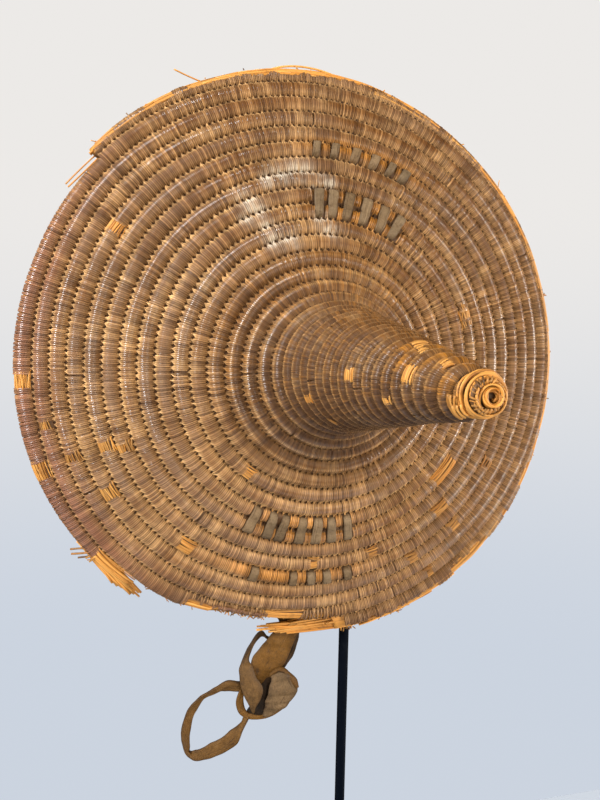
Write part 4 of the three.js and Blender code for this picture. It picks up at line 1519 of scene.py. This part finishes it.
def hide_paint(rng, shape, grey, tone, dark=NO_PAINTED_SHADE):
    """Tone, dark edges and grey wear of a strip, and coordinates for its creases; its dark edges and darker
    stretches are painted shade.
    """
    count, steps, sides = shape[:3]
    # Painted shade on the edges, and along the strip where it lies in shadow.
    edge = STRIP_EDGE_SHADE + table_at(dark, np.linspace(0, 1, steps))[:, None]
    weave = side_by_side(np.full((count, steps, sides), tone), edge, grey)
    strand = np.full((count, steps, sides), rng.uniform(0, 200))
    fibre = side_by_side(strand + STRIP_SHARES * 3, np.linspace(0, 0.07 * steps, steps)[:, None], strand)
    return {"weave": weave, "fibre": fibre}


def add_ribbon(piece, places, thickness, steps, grey, bow, tone, crumple, dark, rng):
    """Adds a strip of hide between two edge lines, crumpled a little."""
    left = smooth_line([place[0] for place in places], steps)
    right = smooth_line([place[1] for place in places], steps)
    waves = np.zeros((len(left), len(STRIP_SHARES)))
    for number in range(4):
        drift = wander(rng, len(left), 3 + 2 * number)
        waves += drift[:, None] * np.cos(number * 1.4 * STRIP_SHARES + rng.uniform(0, 6))
    grid = ribbon_grid(left, right, thickness, bow, crumple * 0.5 * waves)
    piece.add_grids(grid, wrap=True, **hide_paint(rng, grid.shape, grey, tone, dark))


def pad_place(slant, half_width, degrees, thickness):
    """Left and right edge of the sewn pad against the ridged back."""
    offset = -(WALL_SHARE + CREST_SHARE) * float(coil_pitch(slant)) - PAD_GAP - thickness / 2 - 0.4
    radius = float(np.hypot(*shield_point(slant, 0, offset)[:2]))
    half = math.degrees(half_width / radius)
    edges = [shield_point(slant, degrees + half, offset), shield_point(slant, degrees - half, offset)]
    return sorted(edges, key=lambda edge: edge[0])


def grip_place(x, y, z, half_width):
    """Left and right edge of the grip."""
    reach = np.array((half_width, -half_width * GRIP_LEAN, 0))
    return np.array((x, y, z)) - reach, np.array((x, y, z)) + reach


def thong_grid(running, turns, width, rng):
    """A thong over one or two coils: a thin strip that dips into the seam at both ends."""
    stations = np.linspace(0, 1, THONG_STEPS)
    inner = float(edge_slant(running))
    outer = float(edge_slant(running + 360 * turns))
    pitch = (inner - outer) / turns
    shares = 0.02 + 0.96 * stations
    hump = np.minimum(1, np.sin(np.pi * stations) * (1.5 if turns == 1 else 2.2))
    ridges = arch(shares * turns) * 0.35 + 0.65 * hump if turns == 2 else hump
    lift = pitch * FACE_CREST_SHARE * ridges + 0.8 - 4.0 * np.abs(2 * stations - 1) ** 10
    radius = seam_radius(inner)
    lean = rng.normal() * 0.6 - (THONG_LEAN if np.sin(np.radians(running)) > 0 else 0.0)
    half = width / 2 * rng.uniform(0.88, 1.1)
    sides = []
    for sign in (-1, 1):
        way = sign * half * (1 - 0.3 * np.abs(2 * stations - 1) ** 7) + lean * (stations - 0.5)
        sides.append(shield_point(inner - pitch * turns * shares, running + np.degrees(way / radius), lift))
    return ribbon_grid(*sides, THONG_THICKNESS, THONG_BOW)


# Operators

SEED = 4100


def coil_random(step):
    """Random draws for one step of the making, the same each run."""
    return np.random.default_rng(SEED + step)


class SHIELD_OT_core(bpy.types.Operator):
    """Make the grass core of the coil."""

    bl_idname = "shield.core"
    bl_label = "Coil core"

    def execute(self, context):
        make_core(straw_finish(context.scene.basket))
        return {"FINISHED"}


class SHIELD_OT_stitches(bpy.types.Operator):
    """Wrap the coil with its stitches, front, rim, boss and back."""

    bl_idname = "shield.stitches"
    bl_label = "Stitches"

    def execute(self, context):
        basket = context.scene.basket
        width = basket.stitch_width / MM
        wrap = wrap_finish(basket)
        rng = coil_random(2)
        running = stitch_angles(FIRST_RUNNING, COIL_END - 360, width)
        radius = seam_radius(coil_middle(running))
        out = np.interp(coil_middle(running), SECTION_SLANT, SECTION_LINE[:, 1])
        rim = is_rim(running)
        lost = is_lost(running + 360)
        boss = (radius < BOSS_RADIUS) & (out < TIP_BARE)
        disc = (radius >= BOSS_RADIUS) & ~rim & ~lost
        fronts = {
            "outer_front_stitches": disc & (radius > INNER_DISC_RADIUS),
            "inner_front_stitches": disc & (radius <= INNER_DISC_RADIUS),
            "boss_stitches": boss,
        }
        for name, chosen in fronts.items():
            piece = PieceMesh()
            front_stitches(piece, running[chosen], width, rng)
            piece.make(name, wrap, ("coiled_shield",))
        piece = PieceMesh()
        rim_stitches(piece, running[rim], width, rng)
        torn_strips(piece, width, rng)
        piece.make("rim_stitches", wrap, ("coiled_shield",))
        piece = PieceMesh()
        hollow = boss & (radius > CAVITY_END_RADIUS + 3)
        back_stitches(piece, running[disc | hollow], width, rng)
        piece.make("back_stitches", wrap, ("coiled_shield",))
        return {"FINISHED"}


class SHIELD_OT_straws(bpy.types.Operator):
    """Lay the bare straws in the patches, along the rim, at its breaks and at the tip."""

    bl_idname = "shield.straws"
    bl_label = "Bare straws"

    def execute(self, context):
        basket = context.scene.basket
        straw = bpy.data.materials["bare_straw"]
        radius = basket.straw_radius / MM
        rng = coil_random(3)
        pieces = {
            "patch_straws": [(patch_straws, radius)],
            "rim_straws": [(edge_straws, radius)],
            "broken_ends": [(broken_ends, radius), (loose_strands, radius)],
            "frayed_tufts": [(frayed_tufts,)],
            "tip_rosette": [(tip_rosette, radius)],
        }
        for name, layers in pieces.items():
            piece = PieceMesh()
            for lay, *sizes in layers:
                lay(piece, *sizes, rng)
            piece.make(name, straw)
        return {"FINISHED"}


class SHIELD_OT_strap(bpy.types.Operator):
    """Make the hide strap with its knot and loop, and the thongs that sew it on."""

    bl_idname = "shield.strap"
    bl_label = "Strap and thongs"

    def execute(self, context):
        hide = context.scene.hide
        skin = hide_finish(hide)
        rng = coil_random(4)
        thickness = hide.strap_thickness / MM
        main = [pad_place(*station, TOP_PAD_ANGLE, thickness) for station in PAD_STATIONS]
        main += [grip_place(*station) for station in GRIP_STATIONS]
        below = PAD_STATIONS[::-1] + TAIL_STATIONS
        main += [pad_place(*station, BOTTOM_PAD_ANGLE, thickness) for station in below]
        main += STRAP_TAIL
        piece = PieceMesh()
        for places, share, *look in ((main, *STRAP_LOOK), *KNOT_STRIPS):
            add_ribbon(piece, places, thickness * share, *look, rng)
        piece.make("knotted_strap", skin, ("hide_strap",))
        piece = PieceMesh()
        width = hide.thong_width / MM
        rows = ((OUTER_THONGS, OUTER_THONG_SEAM, 1), (INNER_THONGS, INNER_THONG_SEAM, 2))
        for angles, seam, turns in rows:
            for degrees in angles:
                grid = thong_grid(degrees - 360 * seam, turns, width, rng)
                grey = rng.uniform(0.75, 1.05)
                paint = hide_paint(rng, grid.shape, grey, rng.uniform(0.5, 0.95))
                piece.add_grids(grid, wrap=True, flip=True, **paint)
        piece.make("sewn_thongs", skin)
        return {"FINISHED"}


class SHIELD_OT_stand(bpy.types.Operator):
    """Make the round rod and finish the foot."""

    bl_idname = "shield.stand"
    bl_label = "Stand"

    def execute(self, context):
        stand = context.scene.stand
        steel = steel_finish(stand)
        corners = np.array(ROD_POINTS, float)
        path = [corners[0] + (corners[1] - corners[0]) * share for share in np.linspace(0, 0.9, ROD_STEPS)]
        for before, corner, after in zip(corners, corners[1:], corners[2:]):
            start = corner + (before - corner) / np.linalg.norm(before - corner) * BEND_LENGTH
            end = corner + (after - corner) / np.linalg.norm(after - corner) * BEND_LENGTH
            for share in np.linspace(0, 1, BEND_STEPS):
                path.append(start * (1 - share) ** 2 + corner * 2 * share * (1 - share) + end * share**2)
        path.append(corners[-1])
        piece = PieceMesh()
        piece.add_tubes([path], stand.rod_radius / MM, ROD_SIDES)
        piece.make("bent_rod", steel, ("stand_rod",))
        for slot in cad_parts["stand_foot"].material_slots:
            slot.material = steel
        return {"FINISHED"}


class SHIELD_OT_stage(bpy.types.Operator):
    """Make the floor, the soft light and the camera."""

    bl_idname = "shield.stage"
    bl_label = "Stage"

    def execute(self, context):
        stage = context.scene.stage_set
        scene = context.scene
        scene.view_settings.view_transform = "Standard"
        look = Finish("pale_floor")
        cloud = look.noise(3.0, 3.0, 0.5)
        look.set(Base_Color=look.shaded(stage.floor, 0.97 + cloud * 0.06), Roughness=0.7)
        mesh = bpy.data.meshes.new("pale_floor")
        wide = FLOOR_HALF_WIDTH
        outline = ((-wide, FLOOR_FRONT), (wide, FLOOR_FRONT), (wide, FLOOR_BACK), (-wide, FLOOR_BACK))
        corners = [(*place, height) for height in (0, -FLOOR_THICKNESS) for place in outline]
        sides = [(number, (number + 1) % 4, (number + 1) % 4 + 4, number + 4) for number in range(4)]
        mesh.from_pydata(corners, [], [(0, 1, 2, 3), (7, 6, 5, 4)] + [side[::-1] for side in sides])
        mesh.materials.append(look.material)
        floor = bpy.data.objects.new("pale_floor", mesh)
        scene.collection.objects.link(floor)
        for name, place, size, power, tint in LIGHTS:
            lamp = bpy.data.lights.new(name, "AREA")
            lamp.shape = "DISK"
            lamp.size = size
            lamp.energy = power
            lamp.color = tint
            light = bpy.data.objects.new(name, lamp)
            light.location = place
            light.rotation_euler = (Vector(LIGHT_AIM) - Vector(place)).to_track_quat("-Z", "Y").to_euler()
            scene.collection.objects.link(light)
        room = Finish("pale_room", "worlds", "Background", "Generated")
        height = room.split(room.place)[2]
        seen = Value(room.tree, room.node("ShaderNodeLightPath").outputs["Is Camera Ray"])
        wall = room.mix(stage.wall_low, stage.wall_high, height.step(*WALL_BLEND))
        strength = seen * (1 - stage.ambient) + stage.ambient
        room.set(Color=room.mix(stage.bounce, wall, seen), Strength=strength)
        scene.world = room.material
        camera = bpy.data.cameras.new("photo_camera")
        camera.sensor_width = CAMERA_SENSOR
        camera.lens = stage.lens
        camera.clip_start = 0.01
        eye = bpy.data.objects.new("photo_camera", camera)
        right, up = Vector(CAMERA_RIGHT).normalized(), Vector(CAMERA_UP).normalized()
        back_way = right.cross(up).normalized()
        up = back_way.cross(right)
        turn = Matrix((right, up, back_way)).transposed().to_4x4()
        eye.matrix_world = Matrix.Translation(CAMERA_PLACE) @ turn
        scene.collection.objects.link(eye)
        scene.camera = eye
        return {"FINISHED"}


class SHIELD_PT_pieces(bpy.types.Panel):
    """Lists the shield's pieces and settings."""

    bl_idname = "SHIELD_PT_pieces"
    bl_label = "Coiled shield"
    bl_space_type = "VIEW_3D"
    bl_region_type = "UI"
    bl_category = "Shield"

    def draw(self, context):
        for operator in OPERATORS:
            self.layout.operator(operator.bl_idname)
        for group in SETTINGS:
            box = self.layout.box()
            settings = getattr(context.scene, group)
            for name in settings.__annotations__:
                box.prop(settings, name)


SETTINGS = {
    "basket": BasketSettings,
    "hide": HideSettings,
    "stand": StandSettings,
    "stage_set": StageSettings,
}
OPERATORS = (
    SHIELD_OT_core, SHIELD_OT_stitches, SHIELD_OT_straws, SHIELD_OT_strap, SHIELD_OT_stand, SHIELD_OT_stage,
)
CLASSES = (*SETTINGS.values(), *OPERATORS, SHIELD_PT_pieces)


def register():
    for item in CLASSES:
        bpy.utils.register_class(item)
    for name, group in SETTINGS.items():
        setattr(bpy.types.Scene, name, bpy.props.PointerProperty(type=group))


def unregister():
    for name in SETTINGS:
        delattr(bpy.types.Scene, name)
    for item in reversed(CLASSES):
        bpy.utils.unregister_class(item)


def main():
    register()
    bpy.ops.shield.core()
    bpy.ops.shield.stitches()
    bpy.ops.shield.straws()
    bpy.ops.shield.strap()
    bpy.ops.shield.stand()
    bpy.ops.shield.stage()
    bpy.context.view_layer.update()


if __name__ == "__main__":
    main()
